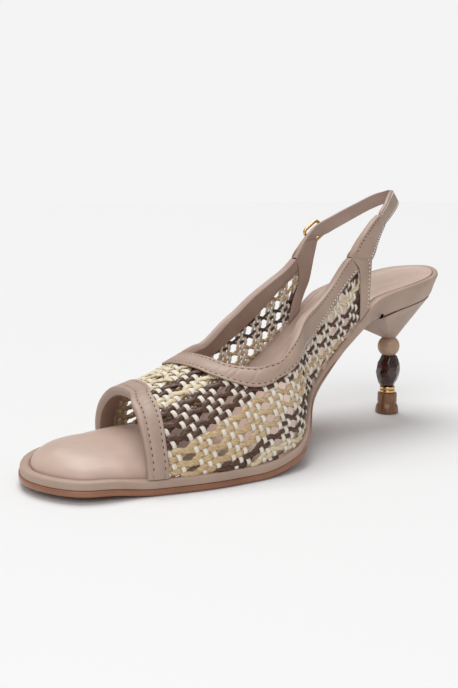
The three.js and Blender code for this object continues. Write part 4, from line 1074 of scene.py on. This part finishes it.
blockAngles = 2 * math.pi * np.arange(200) / 200
aways = np.stack([np.cos(blockAngles), np.sin(blockAngles)], 1)
reaches = np.array([blockReach(away) for away in aways])
rimAt = aways[:, 0] * reaches
rimGap = lerp(heel["rimGap"], heel["seatGap"], smoothstep(rimAt, heel["rimFrom"], heel["rimTo"]))
rim = soleUnder(rimAt) - rimGap
blockRings = []
trimmed = {0: 0.2, 1: 0.25}  # the first and last rings are drawn in, which rounds the edges
for level in (0, 0.02, 0.1, 0.25, 0.4, 0.55, 0.7, 0.85, 0.95, 0.985, 1):
    radius = lerp(heel["jointRadius"], reaches, level) - trimmed.get(level, 0)
    blockRings.append(np.concatenate([aways * radius[:, None], lerp(blockBase, rim, level)[:, None]], 1))
for inward in (0.6, 0.2, 0.01):
    points = aways * (reaches * inward)[:, None]
    blockRings.append(np.concatenate([points, (soleUnder(points[:, 0]) - heel["seatGap"])[:, None]], 1))
blockStore = newStore()
addSweep(blockStore, blockRings)
finished(pieceFrom(blockStore, "heel_cone", [taupe], 30), "taupe_leather", "heel_block")

# Stitches: one thread and the painted shade in its hole, repeated along each seam by Geometry Nodes
stitch = {
    "threadLength": 0.6, "holeLength": 0.4,  # shares of the pitch
    "holeHeight": 0.2, "sink": 0.05, "strapSink": 0.16,  # millimetres
    "strapSteps": 160,
}


def seamPoints(points, outs, pitch):  # evenly spaced places along a seam, each with its direction
    gone = travelled(points)
    places = np.arange(pitch, gone[-1] - pitch / 2, pitch)
    at, out, ahead = (
        np.stack([np.interp(places + step, gone, line[:, k]) for k in range(3)], 1)
        for line, step in ((points, 0), (outs, 0), (points, 0.3))
    )
    return at, ahead - at, out


def bindingSeam(rows, count, share, first=0.0, final=1.0):
    edge, weaveEdge = bindingStations(rows, count)[:2]
    part = slice(int(first * count), int(final * count) + 1)
    flat = (edge + (weaveEdge - edge) * share)[part]
    high = bindingSizes["low"] + bindingSizes["leather"] - bindingSizes["dip"] + stitch["sink"]
    level = np.full(len(flat), high)
    points = onSkin(flat, level)
    return points, onSkin(flat, level + 1) - points


def strapSeam(rows, thick, share, first, final):
    along = np.linspace(first, final, stitch["strapSteps"])
    low, high = strapEdges(rows, along)
    places = np.full((stitch["strapSteps"], 1), share)
    depth = strapSizes["dip"] - lerp(thick[0], thick[1], along)[:, None] / 2 - stitch["strapSink"]
    points = strapFace(low, high, places, depth)[:, 0]
    outer = strapFace(low, high, places, depth - 1)[:, 0]
    return points, outer - points


def stitchTree():
    tree = bpy.data.node_groups.new("stitches", "GeometryNodeTree")
    face = tree.interface
    face.new_socket("Geometry", in_out="INPUT", socket_type="NodeSocketGeometry")
    for name, value in (("Length", 0.0015), ("Width", 0.0005), ("Height", 0.0003)):
        face.new_socket(name, in_out="INPUT", socket_type="NodeSocketFloat").default_value = value
    face.new_socket("Material", in_out="INPUT", socket_type="NodeSocketMaterial")
    face.new_socket("Geometry", in_out="OUTPUT", socket_type="NodeSocketGeometry")
    add = tree.nodes.new
    entry, leave = add("NodeGroupInput"), add("NodeGroupOutput")
    bead = add("GeometryNodeMeshIcoSphere")
    bead.inputs["Radius"].default_value = 0.5
    bead.inputs["Subdivisions"].default_value = 2
    turn = add("GeometryNodeInputNamedAttribute")
    turn.data_type = "FLOAT_VECTOR"
    turn.inputs["Name"].default_value = "turn"
    rotate = add("FunctionNodeEulerToRotation")
    size = add("ShaderNodeCombineXYZ")
    place = add("GeometryNodeInstanceOnPoints")
    real = add("GeometryNodeRealizeInstances")
    smooth = add("GeometryNodeSetShadeSmooth")
    paint = add("GeometryNodeSetMaterial")
    link = tree.links.new
    for k, name in enumerate(("Length", "Width", "Height")):
        link(entry.outputs[name], size.inputs[k])
    link(entry.outputs["Geometry"], place.inputs["Points"])
    link(bead.outputs["Mesh"], place.inputs["Instance"])
    link(turn.outputs["Attribute"], rotate.inputs[0])
    link(rotate.outputs[0], place.inputs["Rotation"])
    link(size.outputs[0], place.inputs["Scale"])
    link(place.outputs[0], real.inputs[0])
    link(real.outputs[0], smooth.inputs[0])
    link(smooth.outputs[0], paint.inputs[0])
    link(entry.outputs["Material"], paint.inputs["Material"])
    link(paint.outputs[0], leave.inputs[0])
    return tree


stitches = stitchTree()


def stitchPiece(name, seams, pitch, size, shift, material):  # size is the length, width and height of one
    places, turns = [], []
    for points, outs in seams:
        at, ahead, out = seamPoints(points, outs, pitch)
        ahead /= np.linalg.norm(ahead, axis=1)[:, None]
        side = np.cross(out, ahead)
        side /= np.linalg.norm(side, axis=1)[:, None]
        top = np.cross(ahead, side)
        places.append(at + ahead * shift)
        for axes in zip(ahead, side, top):
            turns.append(mathutils.Matrix(np.array(axes).T.tolist()).to_euler())
    mesh = bpy.data.meshes.new(name + "_places")
    mesh.from_pydata((np.vstack(places) * 0.001).tolist(), [], [])
    attribute = mesh.attributes.new("turn", "FLOAT_VECTOR", "POINT")
    attribute.data.foreach_set("vector", np.array(turns, np.float32).ravel())
    carrier = bpy.data.objects.new(name + "_places", mesh)
    bpy.context.scene.collection.objects.link(carrier)
    modifier = carrier.modifiers.new("stitches", "NODES")
    modifier.node_group = stitches
    values = {key: part * 0.001 for key, part in zip(("Length", "Width", "Height"), size)}
    values["Material"] = material
    for item in stitches.interface.items_tree:
        if item.in_out == "INPUT" and item.name in values:
            modifier[item.identifier] = values[item.name]
    graph = bpy.context.evaluated_depsgraph_get()
    result = bpy.data.meshes.new_from_object(carrier.evaluated_get(graph))
    result.name = name
    bpy.data.objects.remove(carrier)
    piece = bpy.data.objects.new(name, result)
    bpy.context.scene.collection.objects.link(piece)
    return finished(piece, "taupe_leather")


thread = leatherMaterial("taupe thread", (0.4, 0.3, 0.25), (0.55, 0.44, 0.37), 0.55)
paleThread = leatherMaterial("pale thread", (0.8, 0.74, 0.68), (0.92, 0.88, 0.83), 0.55)
# painted shade: dark flat marks stand in for the shade inside the stitch holes
holeShade = leatherMaterial("needle hole shade", (0.035, 0.02, 0.015), (0.06, 0.035, 0.028), 0.7)

toeRun, topRun, backRun = bindingSizes["band"], bindingSizes["topline"], bindingSizes["back"]
ends = ((0.0, 0.2), (0.82, 1.0))  # shares of the topline along the quarters; the front lies between them
low, high = strapSizes["seam"], 1 - strapSizes["seam"]
seams = {
    "front": [bindingSeam(toeBandRows, toeRun, share) for share in bandSeams]
    + [bindingSeam(toplineRows, topRun, share, ends[0][1], ends[1][0]) for share in topSeams],
    "topline": [bindingSeam(toplineRows, topRun, topSeams[0], *part) for part in ends]
    + [strapSeam(tabLook, tabThick, high, 0.02, 0.98)],
    "quarter": [bindingSeam(toplineRows, topRun, topSeams[1], *part) for part in ends]
    + [bindingSeam(rows, backRun, backSeams[0]) for rows in (innerBackRows, outerBackRows)],
    "strap": [strapSeam(tabLook, tabThick, low, 0.02, 0.98)]
    + [strapSeam(strapRows, strapThick, share, 0.02, 0.56) for share in (low, high)],
}
# seams, pitch, width and height of the thread, its material, width of the painted hole shade, its place after
# the thread
seamRows = [
    ("front", 2.5, 0.5, 0.4, thread, 0.58, 1.25), ("topline", 1.9, 0.5, 0.4, thread, 0.58, 0.95),
    ("quarter", 1.75, 0.575, 0.46, paleThread, 0.4, 0.87), ("strap", 1.45, 0.65, 0.56, paleThread, 0.4, 0.72),
]
for name, pitch, width, height, material, holeShadeWidth, shift in seamRows:
    threadSize = (stitch["threadLength"] * pitch, width, height)
    holeShadeSize = (stitch["holeLength"] * pitch, holeShadeWidth, stitch["holeHeight"])
    stitchPiece(name + "_threads", seams[name], pitch, threadSize, 0, material)
    stitchPiece(name + "_hole_shades", seams[name], pitch, holeShadeSize, shift, holeShade)

# Floor, light and air
studio = {
    "air": 0.36, "backdrop": 0.905, "key": 2.0, "keySpread": 42, "fill": 1.1, "fillSpread": 50, "floor": 0.79,
    "floorHalf": 12, "floorBelow": 0.0002,  # metres
}
floorMesh = bpy.data.meshes.new("floor")
floorCorners = [
    (x * studio["floorHalf"], y * studio["floorHalf"], -studio["floorBelow"])
    for x, y in ((-1, -1), (1, -1), (1, 1), (-1, 1))
]
floorMesh.from_pydata(floorCorners, [], [(0, 1, 2, 3)])
floor = bpy.data.objects.new("floor", floorMesh)
bpy.context.scene.collection.objects.link(floor)
pale, _, paleShader = newMaterial("pale floor", 0.6)
paleShader.inputs["Base Color"].default_value = (*[studio["floor"]] * 3, 1)
floorMesh.materials.append(pale)
floor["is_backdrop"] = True

world = bpy.data.worlds.new("studio")
bpy.context.scene.world = world
world.use_nodes = True
air = world.node_tree.nodes["Background"]
seen = world.node_tree.nodes.new("ShaderNodeLightPath")
strength = world.node_tree.nodes.new("ShaderNodeMapRange")
strength.inputs["To Min"].default_value = studio["air"]
strength.inputs["To Max"].default_value = studio["backdrop"]
world.node_tree.links.new(seen.outputs["Is Camera Ray"], strength.inputs["Value"])
world.node_tree.links.new(strength.outputs[0], air.inputs["Strength"])
air.inputs["Color"].default_value = (1, 1, 1, 1)


def sun(name, power, spread, toward):
    light = bpy.data.objects.new(name, bpy.data.lights.new(name, "SUN"))
    light.data.energy = power
    light.data.angle = math.radians(spread)
    light.rotation_euler = mathutils.Vector(toward).to_track_quat("-Z", "Y").to_euler()
    bpy.context.scene.collection.objects.link(light)


sun("key_from_behind", studio["key"], studio["keySpread"], (0.1, 0.34, -1.0))
sun("front_fill", studio["fill"], studio["fillSpread"], (-0.6, -0.5, -0.7))
bpy.context.scene.view_settings.view_transform = "Standard"
print("light set")

low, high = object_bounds()
